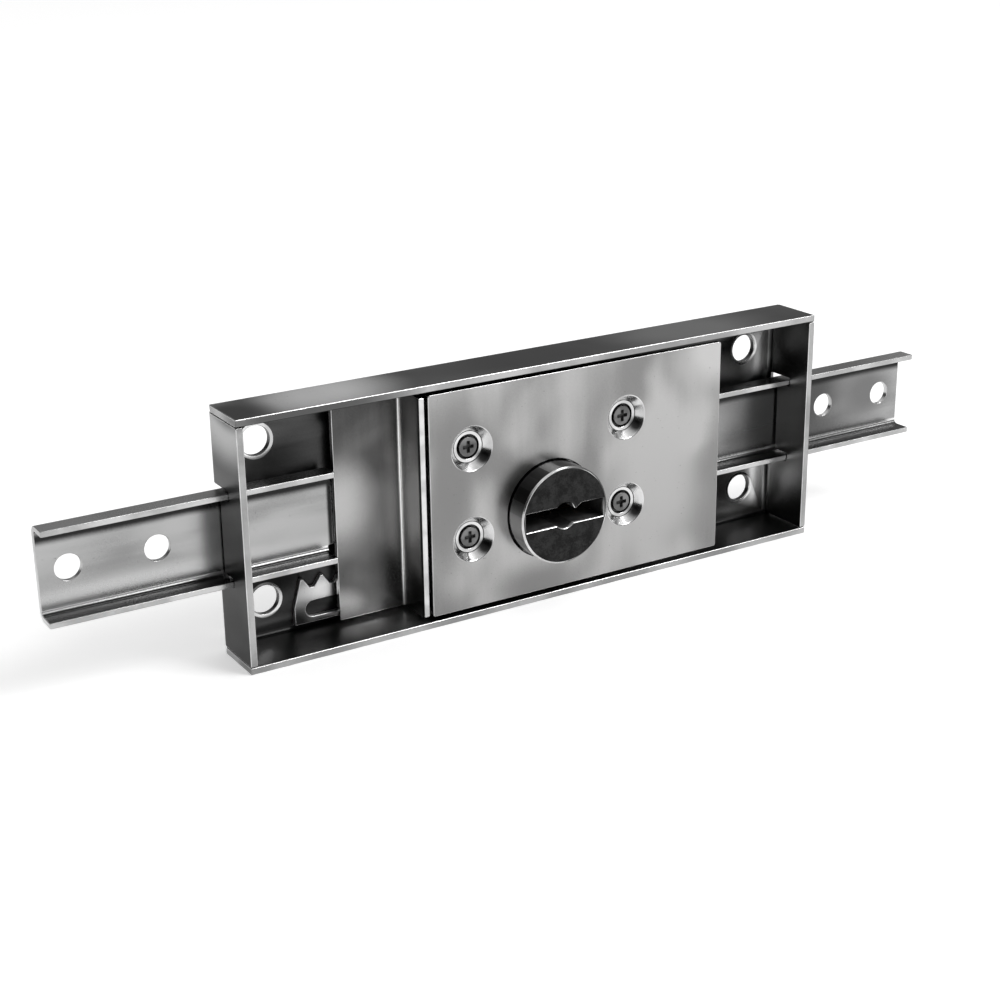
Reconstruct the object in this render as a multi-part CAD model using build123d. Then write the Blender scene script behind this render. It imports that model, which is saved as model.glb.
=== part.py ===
from build123d import *
from math import acos, ceil, cos, hypot, pi, radians, sin, tan
import os

# A double-throw lock for a roller shutter. A flat tray lies with its open side on the inside of the
# bottom slat. A round key head shows through the slat, and turning it drives two channel bars out
# of the tray's ends by a pinion and two racks.
# Millimetres. X runs along the bars, Y goes from the slat into the tray, Z is up.
# The origin is on the key's axis, in the plane of the tray's rim.

# Tray, folded from sheet
CASE_LENGTH = 145.5
CASE_HEIGHT = 54.0
CASE_SHEET = 1.5
CASE_BEND = 2.6
CASE_SEAM = 0.15
KEY_DROP = 5.9
FIXING_MARGIN_X = 9.75
FIXING_MARGIN_Z = 9.5
FIXING_RADIUS = 3.2
FIXING_RIM = 0.5
END_SLOT_FRONT = 4.6
END_SLOT_GAP = 1.0
TONGUE_GAP = 0.5

# Bars, channels of bent sheet, drawn in their retracted position
BAR_REACH = 110.8
BAR_HEIGHT = 20.0
BAR_RISE = 6.1
BAR_FLANGE = 6.0
BAR_SHEET = 1.2
BAR_INNER_BEND = 0.4
BAR_HOLE_RADIUS = 2.75
BAR_HOLE_MARGIN = 6.1
BAR_HOLE_PITCH = 18.3
LEFT_FLANGE_GAP = 1.9
RIGHT_FLANGE_END = 40.0
LEFT_TAIL_GAP = 2.95
RIGHT_TAIL_INSET = 1.5

# Racks and pinion
RACK_THICKNESS = 1.3
RACK_FLOOR_GAP = 0.1
RACK_PLUG_GAP = 0.7
TOOTH_MODULE = 1.5
PINION_TEETH = 12
PRESSURE_ANGLE = 30.0
RACK_TOOTH_THICKNESS = 2.0
RACK_ADDENDUM = 0.7
RACK_DEDENDUM = 1.5
TOOTH_CLEARANCE = 0.2
MESH_SHIFT = -0.9
FLANK_STEPS = 6
KEY_TURN = 180.0
LOWER_RACK_END = -57.1
LOWER_RACK_CORNER = 6.2
LOWER_TEETH_END = 11.0
RISER_GAP = 0.45
RISER_WIDTH = 5.5
RACK_TAB_LENGTH = 19.0
RACK_TAB_TOP = 7.0
UPPER_RACK_GAP = 0.6
UPPER_TEETH_END = -18.0
UPPER_TAB_GAP = 1.8
RACK_TAB_MARGIN = 0.8
TEETH_PAST_MESH = 7.5
RIVET_RADIUS = 1.5
RIVET_INSET = 5.0
GUIDE_SLOT_HEIGHT = 3.6
GUIDE_SLOT_LIP = 1.3
GUIDE_SLOT_EDGE = 2.6
GUIDE_CLEARANCE = 0.2
GUIDE_END_GAP = 0.5
GUIDE_HEAD_RADIUS = 2.8
GUIDE_HEAD_THICKNESS = 0.9
SLIDE_GAP = 0.2

# Cover and the bracket at its left
COVER_LEFT = -30.1
COVER_RIGHT = 45.8
COVER_GAP = 0.85
COVER_SETBACK = 0.5
COVER_SHEET = 1.5
SCREW_SIDE_GAP = 3.5
SCREW_SPAN_Z = 20.3
SCREW_RISE = 7.1
DIMPLE_RADIUS = 5.0
DIMPLE_FLOOR_RADIUS = 3.5
DIMPLE_DEPTH = 1.8
DIMPLE_SHEET = 1.2
DIMPLE_SIDE_SHEET = 1.0
BRACKET_COVER_GAP = 0.9
BRACKET_WIDTH = 16.8
BRACKET_END_GAP = 1.1
BRACKET_SHEET = 1.2
BRACKET_BAR_GAP = 0.2
BRACKET_INNER_BEND = 0.3
BRACKET_POST_RADIUS = 1.6
BRACKET_POST_DROP = 2.2
BRACKET_POST_INSET = 7.3

# Screws, pillars and their spigots through the tray's floor
PILLAR_RADIUS = 2.75
PILLAR_THREAD_DEPTH = 7.0
SPIGOT_RADIUS = 1.7
SMALL_SPIGOT_RADIUS = 0.85
SCREW_RADIUS = 1.25
SCREW_HOLE_CLEARANCE = 0.05
SCREW_PASS_CLEARANCE = 0.4
SCREW_LENGTH = 6.0
SCREW_HEAD_RADIUS = 2.35
SCREW_HEAD_HEIGHT = 1.0
SCREW_HEAD_CLEARANCE = 0.35
COUNTERBORE_DEPTH = 0.8
CROSS_WIDTH = 0.75
CROSS_LENGTH = 2.6
CROSS_DEPTH = 0.7
HOUSING_SCREW_RADIUS = 1.0
HOUSING_SCREW_HEAD = 2.1
HOUSING_SCREW_LENGTH = 4.5
HOUSING_SCREW_SLOT = 0.5

# Key plug, its housing and its tumblers
HEAD_RADIUS = 11.0
HEAD_FRONT = -5.0
HEAD_CHAMFER = 0.5
HEAD_HOLE_CLEARANCE = 0.2
NECK_REACH = 0.3
NECK_STEP = 0.4
PLUG_SHOULDER = 1.5
PLUG_END_GAP = 0.1
PLUG_CLEARANCE = 0.08
PLUG_WEB = 1.2
KEYWAY_END_WALL = 0.85
KEYWAY_HEIGHT = 4.3
KEYWAY_END_GAP = 0.2
STEM_RADIUS = 3.0
WARD_LEFT = 1.6
WARD_TIP = 2.4
WARD_RIGHT = 4.3
WARD_HEIGHT = 1.1
WARD_ROOT = 0.5
SQUARE_SIDE = 8.0
SQUARE_CLEARANCE = 0.03
JOURNAL_RADIUS = 4.0
JOURNAL_CLEARANCE = 0.06
BUSH_WALL = 1.4
BUSH_PROUD = 0.1
PINION_BACK_GAP = 0.2
HOUSING_WALL = 3.8
HOUSING_LIP = 0.4
HOUSING_FRONT_GAP = 0.2
HOUSING_LEG_HALF_HEIGHT = 4.5
GROOVE_DEPTH = 1.5
GROOVE_SIDE_GAP = 0.5
GROOVE_BACK_WALL = 0.5
TUMBLER_THICKNESS = 0.8
TUMBLER_WALL = 0.5
TUMBLER_FIRST_WALL = 0.3
TUMBLER_HALF_HEIGHT = 5.4
TUMBLER_CLEARANCE = 0.05
TUMBLER_INSET = 0.1
TUMBLER_TRAVEL = 1.0
TUMBLER_WINDOW_CLEARANCE = 0.15
TUMBLER_WINDOWS = [9.4, 8.8, 9.6, 8.6, 9.2]
LUG_PLACE = 0.4
LUG_WIDTH = 1.0
LUG_HEIGHT = 1.3
SPRING_RADIUS = 0.6
SPRING_WIRE = 0.2
SPRING_LENGTH = 4.6
SPRING_TURNS = 7
POCKET_CLEARANCE = 0.1
POCKET_LIFT = 0.15
POCKET_END_GAP = 0.2

# Radii and places across the lock that follow
CASE_CENTRE = KEY_DROP
CASE_BOTTOM = CASE_CENTRE - CASE_HEIGHT / 2
FIXING_SPAN_X = CASE_LENGTH - 2 * FIXING_MARGIN_X
FIXING_SPAN_Z = CASE_HEIGHT - 2 * FIXING_MARGIN_Z
BAR_BOTTOM = BAR_RISE - BAR_HEIGHT / 2
BAR_TOP = BAR_RISE + BAR_HEIGHT / 2
COVER_HEIGHT = CASE_HEIGHT - 2 * (CASE_SHEET + COVER_GAP)
BRACKET_HEIGHT = CASE_HEIGHT - 2 * (CASE_SHEET + BRACKET_END_GAP)
BRACKET_RIGHT = COVER_LEFT - BRACKET_COVER_GAP
BRACKET_LEFT = BRACKET_RIGHT - BRACKET_WIDTH
BRACKET_POST_PLACE = (BRACKET_LEFT + BRACKET_RIGHT) / 2
BRACKET_POST_LOW = BAR_BOTTOM - BRACKET_POST_DROP
BRACKET_POST_HIGH = CASE_CENTRE + BRACKET_HEIGHT / 2 - BRACKET_POST_INSET
PLUG_RADIUS = HEAD_RADIUS + PLUG_SHOULDER
KEYWAY_HALF_LENGTH = HEAD_RADIUS - KEYWAY_END_WALL
HOUSING_BORE = PLUG_RADIUS + PLUG_CLEARANCE
HOUSING_RADIUS = PLUG_RADIUS + HOUSING_WALL
BUSH_RADIUS = JOURNAL_RADIUS + JOURNAL_CLEARANCE + BUSH_WALL
SCREW_SIDE = HOUSING_RADIUS + SCREW_SIDE_GAP
PILLAR_SIDE = SCREW_SIDE + PILLAR_RADIUS
SPRING_LIFT = POCKET_LIFT + POCKET_CLEARANCE + SPRING_RADIUS
SPRING_HEIGHT = TUMBLER_HALF_HEIGHT + TUMBLER_CLEARANCE + SPRING_LIFT

# Racks and pinion that follow
PITCH_RADIUS = TOOTH_MODULE * PINION_TEETH / 2
TOOTH_PITCH = pi * TOOTH_MODULE
BASE_RADIUS = PITCH_RADIUS * cos(radians(PRESSURE_ANGLE))
PINION_TIP_RADIUS = PITCH_RADIUS + RACK_DEDENDUM - TOOTH_CLEARANCE
PINION_ROOT_RADIUS = PITCH_RADIUS - RACK_ADDENDUM - TOOTH_CLEARANCE
TRAVEL = PITCH_RADIUS * radians(KEY_TURN)
RACK_TIP = PITCH_RADIUS - RACK_ADDENDUM
RISER_LEFT = PILLAR_SIDE + RISER_GAP
RISER_RIGHT = RISER_LEFT + RISER_WIDTH
RIGHT_TAIL_END = RISER_LEFT + RIGHT_TAIL_INSET
LEFT_TAIL_END = -PILLAR_SIDE - LEFT_TAIL_GAP
LEFT_FLANGE_END = BRACKET_LEFT - LEFT_FLANGE_GAP
UPPER_RACK_TOP = SCREW_RISE + SCREW_SPAN_Z / 2 - PILLAR_RADIUS - UPPER_RACK_GAP
UPPER_TAB_BOTTOM = SCREW_RISE - SCREW_SPAN_Z / 2 + PILLAR_RADIUS + UPPER_TAB_GAP
LOWER_RACK_BOTTOM = CASE_BOTTOM + CASE_BEND
GUIDE_SLOT_PLACE = LOWER_RACK_BOTTOM + GUIDE_SLOT_LIP + GUIDE_SLOT_HEIGHT / 2
GUIDE_PIN_RADIUS = GUIDE_SLOT_HEIGHT / 2 - GUIDE_CLEARANCE
GUIDE_SLOT_LEFT = LOWER_RACK_END + GUIDE_SLOT_EDGE + GUIDE_SLOT_HEIGHT / 2
GUIDE_PIN_PLACE = GUIDE_SLOT_LEFT + TRAVEL + GUIDE_END_GAP
GUIDE_SLOT_RIGHT = GUIDE_PIN_PLACE + GUIDE_END_GAP

# Depths that follow, from the cover back to the floor
COVER_BACK = COVER_SETBACK + COVER_SHEET
DIMPLE_FLOOR = COVER_SETBACK + DIMPLE_DEPTH
SCREW_SEAT = DIMPLE_FLOOR + COUNTERBORE_DEPTH
PILLAR_FRONT = DIMPLE_FLOOR + DIMPLE_SHEET
HEAD_BACK = COVER_SETBACK - NECK_REACH
HOUSING_FRONT = PILLAR_FRONT + HOUSING_FRONT_GAP
TUMBLER_COUNT = len(TUMBLER_WINDOWS)
TUMBLER_FIRST = HOUSING_FRONT + TUMBLER_FIRST_WALL + TUMBLER_THICKNESS / 2
TUMBLER_PITCH = TUMBLER_THICKNESS + TUMBLER_WALL
TUMBLER_LAST = TUMBLER_FIRST + (TUMBLER_COUNT - 1) * TUMBLER_PITCH
KEYWAY_BACK = TUMBLER_LAST + TUMBLER_THICKNESS / 2 + KEYWAY_END_GAP
PLUG_BACK = KEYWAY_BACK + PLUG_WEB
HOUSING_BACK = KEYWAY_BACK + HOUSING_LIP
RACK_FRONT = PLUG_BACK + RACK_PLUG_GAP
RACK_BACK = RACK_FRONT + RACK_THICKNESS
FLOOR = RACK_BACK + RACK_FLOOR_GAP
CASE_DEPTH = FLOOR + CASE_SHEET
PINION_BACK = FLOOR - PINION_BACK_GAP
BAR_BACK = RACK_FRONT
BAR_FRONT = BAR_BACK - BAR_FLANGE
WEB_FRONT = BAR_BACK - BAR_SHEET
BRACKET_BACK = WEB_FRONT - BRACKET_BAR_GAP
BRACKET_FOOT_FRONT = BRACKET_BACK - BRACKET_SHEET


def block(x0, x1, y0, y1, z0, z1):
    """A box between two opposite corners."""
    return Pos((x0 + x1) / 2, (y0 + y1) / 2, (z0 + z1) / 2) * Box(x1 - x0, y1 - y0, z1 - z0)


def rod(radius, front, back, x=0.0, z=0.0):
    """A round rod along Y."""
    return Pos(x, (front + back) / 2, z) * Rot(90, 0, 0) * Cylinder(radius, back - front)


def cone(front_radius, back_radius, front, back, x=0.0, z=0.0):
    """A cone along Y; its axis turned so that the first radius is at the front."""
    return Pos(x, (front + back) / 2, z) * Rot(90, 0, 0) * Cone(back_radius, front_radius, back - front)


def plate(outline, front, back):
    """A flat plate from an outline drawn in X and Z."""
    plane = Plane(origin=(0, back, 0), x_dir=(1, 0, 0), z_dir=(0, -1, 0))
    return extrude(plane * outline, amount=back - front)


def outline_of(points):
    """A closed face through points given in X and Z."""
    return make_face(Polyline(*points, close=True))


def along_x(profile, x0, x1):
    """A bar along X from a face drawn in Y and Z."""
    plane = Plane(origin=(x0, 0, 0), x_dir=(0, 1, 0), z_dir=(1, 0, 0))
    return extrude(plane * profile, amount=x1 - x0)


def screw_places():
    """The four cover screws, from the top left round to the bottom right."""
    return {
        "top_left": (-SCREW_SIDE, SCREW_RISE + SCREW_SPAN_Z / 2),
        "top_right": (SCREW_SIDE, SCREW_RISE + SCREW_SPAN_Z / 2),
        "bottom_left": (-SCREW_SIDE, SCREW_RISE - SCREW_SPAN_Z / 2),
        "bottom_right": (SCREW_SIDE, SCREW_RISE - SCREW_SPAN_Z / 2),
    }


def housing_screw_places():
    """The housing's two screws, one in each leg."""
    middle = (HOUSING_BORE + HOUSING_RADIUS) / 2
    return {"left": -middle, "right": middle}


def tray_body(inset):
    """The tray's outer or inner form: a block with rounded back edges."""
    half_x = CASE_LENGTH / 2 - inset
    half_z = CASE_HEIGHT / 2 - inset
    front = 0.0 if inset == 0 else -CASE_SHEET
    body = block(-half_x, half_x, front, CASE_DEPTH - inset, CASE_CENTRE - half_z, CASE_CENTRE + half_z)
    back_edges = body.faces().sort_by(Axis.Y)[-1].edges()
    return fillet(back_edges, CASE_BEND - inset)


def make_case():
    """The tray, with its end slots, corner seams and every hole in its floor."""
    case = tray_body(0.0) - tray_body(CASE_SHEET)
    half_x = CASE_LENGTH / 2
    seam_z = CASE_HEIGHT / 2 - CASE_SHEET
    for side in (-1, 1):
        inner = side * (half_x - CASE_BEND)
        outer = side * (half_x + CASE_SHEET)
        slot = block(min(inner, outer), max(inner, outer), END_SLOT_FRONT, CASE_DEPTH + CASE_SHEET,
                     BAR_BOTTOM - END_SLOT_GAP, BAR_TOP + END_SLOT_GAP)
        case -= slot
        wall = side * (half_x - CASE_SHEET)
        for end in (-1, 1):
            low = CASE_CENTRE + end * seam_z
            case -= block(min(wall, outer), max(wall, outer), -CASE_SHEET, CASE_DEPTH - CASE_BEND,
                          min(low, low - end * CASE_SEAM), max(low, low - end * CASE_SEAM))
    for x in (-FIXING_SPAN_X / 2, FIXING_SPAN_X / 2):
        for z in (CASE_CENTRE - FIXING_SPAN_Z / 2, CASE_CENTRE + FIXING_SPAN_Z / 2):
            case -= rod(FIXING_RADIUS, FLOOR - 1, CASE_DEPTH + 1, x, z)
            case -= cone(FIXING_RADIUS + FIXING_RIM, FIXING_RADIUS, FLOOR, FLOOR + FIXING_RIM, x, z)
    for x, z in screw_places().values():
        case -= rod(SPIGOT_RADIUS, FLOOR - 1, CASE_DEPTH + 1, x, z)
    for z in (BRACKET_POST_LOW, BRACKET_POST_HIGH):
        case -= rod(SMALL_SPIGOT_RADIUS, FLOOR - 1, CASE_DEPTH + 1, BRACKET_POST_PLACE, z)
    case -= rod(SMALL_SPIGOT_RADIUS, FLOOR - 1, CASE_DEPTH + 1, GUIDE_PIN_PLACE, GUIDE_SLOT_PLACE)
    case -= rod(BUSH_RADIUS, FLOOR - 1, CASE_DEPTH + 1)
    for x in housing_screw_places().values():
        case -= rod(HOUSING_SCREW_RADIUS + SCREW_HOLE_CLEARANCE, FLOOR - 1, CASE_DEPTH + 1, x)
        case -= countersink(x, SCREW_HOLE_CLEARANCE)
    return case


def make_wall_tongue(side):
    """The tongue of an end wall that its C-shaped slot leaves standing inside the bar's channel."""
    inner = side * (CASE_LENGTH / 2 - CASE_SHEET)
    outer = side * CASE_LENGTH / 2
    margin = BAR_SHEET + TONGUE_GAP
    return block(min(inner, outer), max(inner, outer), END_SLOT_FRONT, WEB_FRONT - TONGUE_GAP,
                 BAR_BOTTOM + margin, BAR_TOP - margin)


def countersink(x, clearance):
    """The cone of a housing screw's head, let into the back of the tray's floor."""
    height = HOUSING_SCREW_HEAD - HOUSING_SCREW_RADIUS
    return cone(HOUSING_SCREW_RADIUS + clearance, HOUSING_SCREW_HEAD + clearance,
                CASE_DEPTH - height, CASE_DEPTH, x)


def make_cover():
    """The cover plate, with a dimple for each screw and the hole for the key head."""
    low = CASE_CENTRE - COVER_HEIGHT / 2
    high = CASE_CENTRE + COVER_HEIGHT / 2
    cover = block(COVER_LEFT, COVER_RIGHT, COVER_SETBACK, COVER_BACK, low, high)
    slope = (DIMPLE_RADIUS - DIMPLE_FLOOR_RADIUS) / DIMPLE_DEPTH
    for x, z in screw_places().values():
        back_radius = DIMPLE_FLOOR_RADIUS + DIMPLE_SIDE_SHEET
        cover += cone(back_radius + slope * DIMPLE_DEPTH, back_radius, COVER_SETBACK + DIMPLE_SHEET,
                      PILLAR_FRONT, x, z)
    for x, z in screw_places().values():
        cover -= cone(DIMPLE_RADIUS, DIMPLE_FLOOR_RADIUS, COVER_SETBACK, DIMPLE_FLOOR, x, z)
        cover -= rod(SCREW_HEAD_RADIUS + SCREW_HEAD_CLEARANCE, COVER_SETBACK, SCREW_SEAT, x, z)
        cover -= rod(SCREW_RADIUS + SCREW_PASS_CLEARANCE, COVER_SETBACK, PILLAR_FRONT + 1, x, z)
    cover -= rod(HEAD_RADIUS + HEAD_HOLE_CLEARANCE, COVER_SETBACK - 1, COVER_BACK + 1)
    return cover


def make_bracket():
    """The bent bracket left of the cover: a foot over the bar's tail and a wall up to the cover."""
    outer_bend = BRACKET_INNER_BEND + BRACKET_SHEET
    low = CASE_CENTRE - BRACKET_HEIGHT / 2
    high = CASE_CENTRE + BRACKET_HEIGHT / 2
    body = block(BRACKET_LEFT, BRACKET_RIGHT, COVER_SETBACK, BRACKET_BACK, low, high)
    body = fillet(body.edges().filter_by(Axis.Z).group_by(Axis.Y)[-1].sort_by(Axis.X)[-1], outer_bend)
    hollow = block(BRACKET_LEFT - 1, BRACKET_RIGHT - BRACKET_SHEET, COVER_SETBACK - 1,
                   BRACKET_FOOT_FRONT, low - 1, high + 1)
    corner = hollow.edges().filter_by(Axis.Z).group_by(Axis.Y)[-1].sort_by(Axis.X)[-1]
    return body - fillet(corner, BRACKET_INNER_BEND)


def make_bar(side, flange_end, tail_end):
    """A bolt bar: a channel with its web carried on inwards as a flat tail."""
    outer = BAR_INNER_BEND + BAR_SHEET
    tip = side * BAR_REACH
    profile = make_face(Polyline((BAR_FRONT, BAR_BOTTOM), (BAR_BACK, BAR_BOTTOM),
                                 (BAR_BACK, BAR_TOP), (BAR_FRONT, BAR_TOP), close=True))
    profile = fillet(profile.vertices().group_by(Axis.X)[-1], outer)
    hollow = make_face(Polyline((BAR_FRONT - 1, BAR_BOTTOM + BAR_SHEET), (WEB_FRONT, BAR_BOTTOM + BAR_SHEET),
                                (WEB_FRONT, BAR_TOP - BAR_SHEET), (BAR_FRONT - 1, BAR_TOP - BAR_SHEET),
                                close=True))
    hollow = fillet(hollow.vertices().group_by(Axis.X)[-1], BAR_INNER_BEND)
    channel = along_x(profile - hollow, min(tip, flange_end), max(tip, flange_end))
    tail_low = BAR_BOTTOM + outer
    tail_high = BAR_TOP - outer
    tail = block(min(flange_end, tail_end), max(flange_end, tail_end), WEB_FRONT, BAR_BACK,
                 tail_low, tail_high)
    bar = channel + tail
    for place in bar_hole_places(side):
        bar -= rod(BAR_HOLE_RADIUS, WEB_FRONT - 1, BAR_BACK + 1, place, BAR_RISE)
    for place, height in rivet_places(side):
        bar -= rod(RIVET_RADIUS, WEB_FRONT - 1, BAR_BACK + 1, place, height)
    return bar


def bar_hole_places(side):
    """The two holes at the outer end of a bar."""
    outer = side * (BAR_REACH - BAR_HOLE_MARGIN)
    return [outer, outer - side * BAR_HOLE_PITCH]


def tab_span(side):
    """The stretch of a rack that lies behind its bar's tail."""
    if side > 0:
        return RISER_LEFT, RISER_LEFT + RACK_TAB_LENGTH
    return LEFT_TAIL_END - RACK_TAB_LENGTH, LEFT_TAIL_END - RACK_TAB_MARGIN


def rivet_places(side):
    """The two rivets that hold a rack to its bar."""
    low, high = tab_span(side)
    height = (BAR_BOTTOM + RACK_TAB_TOP) / 2 if side > 0 else (UPPER_TAB_BOTTOM + UPPER_RACK_TOP) / 2
    return [(low + RIVET_INSET, height), (high - RIVET_INSET, height)]


def rack_teeth(first, last):
    """Rack outline from one valley to another, teeth pointing up: X and height above the pitch line."""
    half_gap = (TOOTH_PITCH - RACK_TOOTH_THICKNESS) / 2
    slope = tan(radians(PRESSURE_ANGLE))
    top = half_gap + RACK_ADDENDUM * slope
    bottom = half_gap - RACK_DEDENDUM * slope
    points = []
    for k in range(first, last + 1):
        valley = MESH_SHIFT + k * TOOTH_PITCH
        points.append((valley - top, RACK_ADDENDUM))
        points.append((valley - bottom, -RACK_DEDENDUM))
        points.append((valley + bottom, -RACK_DEDENDUM))
        points.append((valley + top, RACK_ADDENDUM))
    return points


def make_lower_rack():
    """The rack under the pinion. It belongs to the right bar and shows at the lower left."""
    half_gap = (TOOTH_PITCH - RACK_TOOTH_THICKNESS) / 2 + RACK_ADDENDUM * tan(radians(PRESSURE_ANGLE))
    first = ceil((LOWER_RACK_END + half_gap - MESH_SHIFT) / TOOTH_PITCH)
    last = int((LOWER_TEETH_END - half_gap - MESH_SHIFT) / TOOTH_PITCH)
    teeth = [(x, height - PITCH_RADIUS) for x, height in rack_teeth(first, last)]
    left_tip = teeth[0][0] - (TOOTH_PITCH - 2 * half_gap)
    points = [(LOWER_RACK_END, LOWER_RACK_BOTTOM), (LOWER_RACK_END, -RACK_TIP - LOWER_RACK_CORNER)]
    points += [(left_tip, -RACK_TIP)] + teeth
    tab_right = tab_span(1)[1]
    points += [(RISER_LEFT, -RACK_TIP), (RISER_LEFT, RACK_TAB_TOP), (tab_right, RACK_TAB_TOP)]
    points += [(tab_right, BAR_BOTTOM), (RISER_RIGHT, BAR_BOTTOM), (RISER_RIGHT, LOWER_RACK_BOTTOM)]
    rack = plate(outline_of(points), RACK_FRONT, RACK_BACK)
    slot = SlotCenterToCenter(GUIDE_SLOT_RIGHT - GUIDE_SLOT_LEFT, GUIDE_SLOT_HEIGHT)
    slot = Pos((GUIDE_SLOT_LEFT + GUIDE_SLOT_RIGHT) / 2, GUIDE_SLOT_PLACE) * slot
    rack -= plate(slot, RACK_FRONT - 1, RACK_BACK + 1)
    for x, z in rivet_places(1):
        rack -= rod(RIVET_RADIUS, RACK_FRONT - 1, RACK_BACK + 1, x, z)
    return rack


def make_upper_rack():
    """The rack above the pinion. It belongs to the left bar and is the lower one's teeth turned round."""
    reach = TRAVEL + TEETH_PAST_MESH
    first = int((-reach - MESH_SHIFT) / TOOTH_PITCH)
    last = 2
    teeth = [(-x, PITCH_RADIUS - height) for x, height in rack_teeth(first, last)]
    tab_left = tab_span(-1)[0]
    points = [(teeth[0][0], UPPER_RACK_TOP)] + teeth
    points += [(UPPER_TEETH_END, RACK_TIP), (UPPER_TEETH_END, UPPER_TAB_BOTTOM)]
    points += [(tab_left, UPPER_TAB_BOTTOM), (tab_left, UPPER_RACK_TOP)]
    rack = plate(outline_of(points), RACK_FRONT, RACK_BACK)
    for x, z in rivet_places(-1):
        rack -= rod(RIVET_RADIUS, RACK_FRONT - 1, RACK_BACK + 1, x, z)
    return rack


def involute_flank():
    """Half-thickness angles of a pinion tooth at radii from the base circle to the tip."""
    pressure = radians(PRESSURE_ANGLE)
    half_pitch_angle = pi / (2 * PINION_TEETH)
    start = max(BASE_RADIUS, PINION_ROOT_RADIUS)
    points = []
    for step in range(FLANK_STEPS + 1):
        radius = start + (PINION_TIP_RADIUS - start) * step / FLANK_STEPS
        angle = acos(min(1.0, BASE_RADIUS / radius))
        half = half_pitch_angle + (tan(pressure) - pressure) - (tan(angle) - angle)
        points.append((radius, half))
    return points


def make_pinion():
    """The pinion, with involute teeth that mesh with both racks at rest."""
    flank = involute_flank()
    bottom_tooth = -pi / 2 + MESH_SHIFT / PITCH_RADIUS
    edges = []
    corners = []
    for tooth in range(PINION_TEETH):
        centre = bottom_tooth + 2 * pi * tooth / PINION_TEETH
        rising = [(r * cos(centre - half), r * sin(centre - half)) for r, half in flank]
        falling = [(r * cos(centre + half), r * sin(centre + half)) for r, half in reversed(flank)]
        tip = (PINION_TIP_RADIUS * cos(centre), PINION_TIP_RADIUS * sin(centre))
        edges += [Spline(*rising), ThreePointArc(rising[-1], tip, falling[0]), Spline(*falling)]
        corners.append((rising[0], falling[-1], centre))
    for tooth in range(PINION_TEETH):
        start = corners[tooth][1]
        end = corners[(tooth + 1) % PINION_TEETH][0]
        between = corners[tooth][2] + pi / PINION_TEETH
        root = hypot(*start)
        middle = (root * cos(between), root * sin(between))
        edges.append(ThreePointArc(start, middle, end))
    blank = make_face(Wire(edges))
    pinion = plate(blank, PLUG_BACK, PINION_BACK)
    half = SQUARE_SIDE / 2 + SQUARE_CLEARANCE
    return pinion - block(-half, half, PLUG_BACK - 1, PINION_BACK + 1, -half, half)


def tumbler_depth(index):
    """How deep in the plug a tumbler's middle lies."""
    return TUMBLER_FIRST + index * TUMBLER_PITCH


def tumbler_side(index):
    """Tumblers slide out to the right and to the left by turns."""
    return 1 if index % 2 == 0 else -1


def make_plug():
    """The turning plug: the round head outside, the barrel inside, a square and a journal behind."""
    plug = rod(HEAD_RADIUS, HEAD_FRONT, HEAD_BACK)
    plug = chamfer(plug.faces().sort_by(Axis.Y)[0].edges(), HEAD_CHAMFER)
    plug += rod(HEAD_RADIUS - NECK_STEP, HEAD_BACK, COVER_BACK + PLUG_END_GAP)
    plug += rod(PLUG_RADIUS, COVER_BACK + PLUG_END_GAP, PLUG_BACK)
    half = SQUARE_SIDE / 2
    plug += block(-half, half, PLUG_BACK, PINION_BACK, -half, half)
    plug += rod(JOURNAL_RADIUS, PINION_BACK, CASE_DEPTH)
    half_way = KEYWAY_HEIGHT / 2
    plug -= block(-KEYWAY_HALF_LENGTH, KEYWAY_HALF_LENGTH, HEAD_FRONT - 1, KEYWAY_BACK, -half_way, half_way)
    plug -= rod(STEM_RADIUS, HEAD_FRONT - 1, KEYWAY_BACK)
    ward = outline_of([(WARD_LEFT, half_way + WARD_ROOT), (WARD_TIP, half_way - WARD_HEIGHT),
                       (WARD_RIGHT, half_way), (WARD_RIGHT, half_way + WARD_ROOT)])
    plug += plate(ward, HEAD_FRONT, COVER_BACK)
    slot_half = TUMBLER_HALF_HEIGHT + TUMBLER_CLEARANCE
    slot_width = TUMBLER_THICKNESS / 2 + TUMBLER_CLEARANCE
    for index in range(TUMBLER_COUNT):
        depth = tumbler_depth(index)
        side = tumbler_side(index)
        plug -= block(-PLUG_RADIUS - 1, PLUG_RADIUS + 1, depth - slot_width, depth + slot_width,
                      -slot_half, slot_half)
        plug -= spring_pocket(index)
        lug_low = side * (LUG_PLACE - POCKET_END_GAP)
        lug_high = side * (LUG_PLACE + LUG_WIDTH + TUMBLER_TRAVEL + POCKET_END_GAP)
        plug -= block(min(lug_low, lug_high), max(lug_low, lug_high), depth - slot_width,
                      depth + slot_width, min(0, side * SPRING_HEIGHT), max(0, side * SPRING_HEIGHT))
    return plug


def spring_pocket(index):
    """The round pocket that holds a tumbler's spring and the end of its lug."""
    side = tumbler_side(index)
    start = side * (LUG_PLACE - SPRING_LENGTH)
    end = side * (LUG_PLACE + LUG_WIDTH + TUMBLER_TRAVEL + POCKET_END_GAP)
    length = abs(end - start)
    pocket = Rot(0, 90, 0) * Cylinder(SPRING_RADIUS + POCKET_CLEARANCE, length)
    return Pos((start + end) / 2, tumbler_depth(index), side * SPRING_HEIGHT) * pocket


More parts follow.
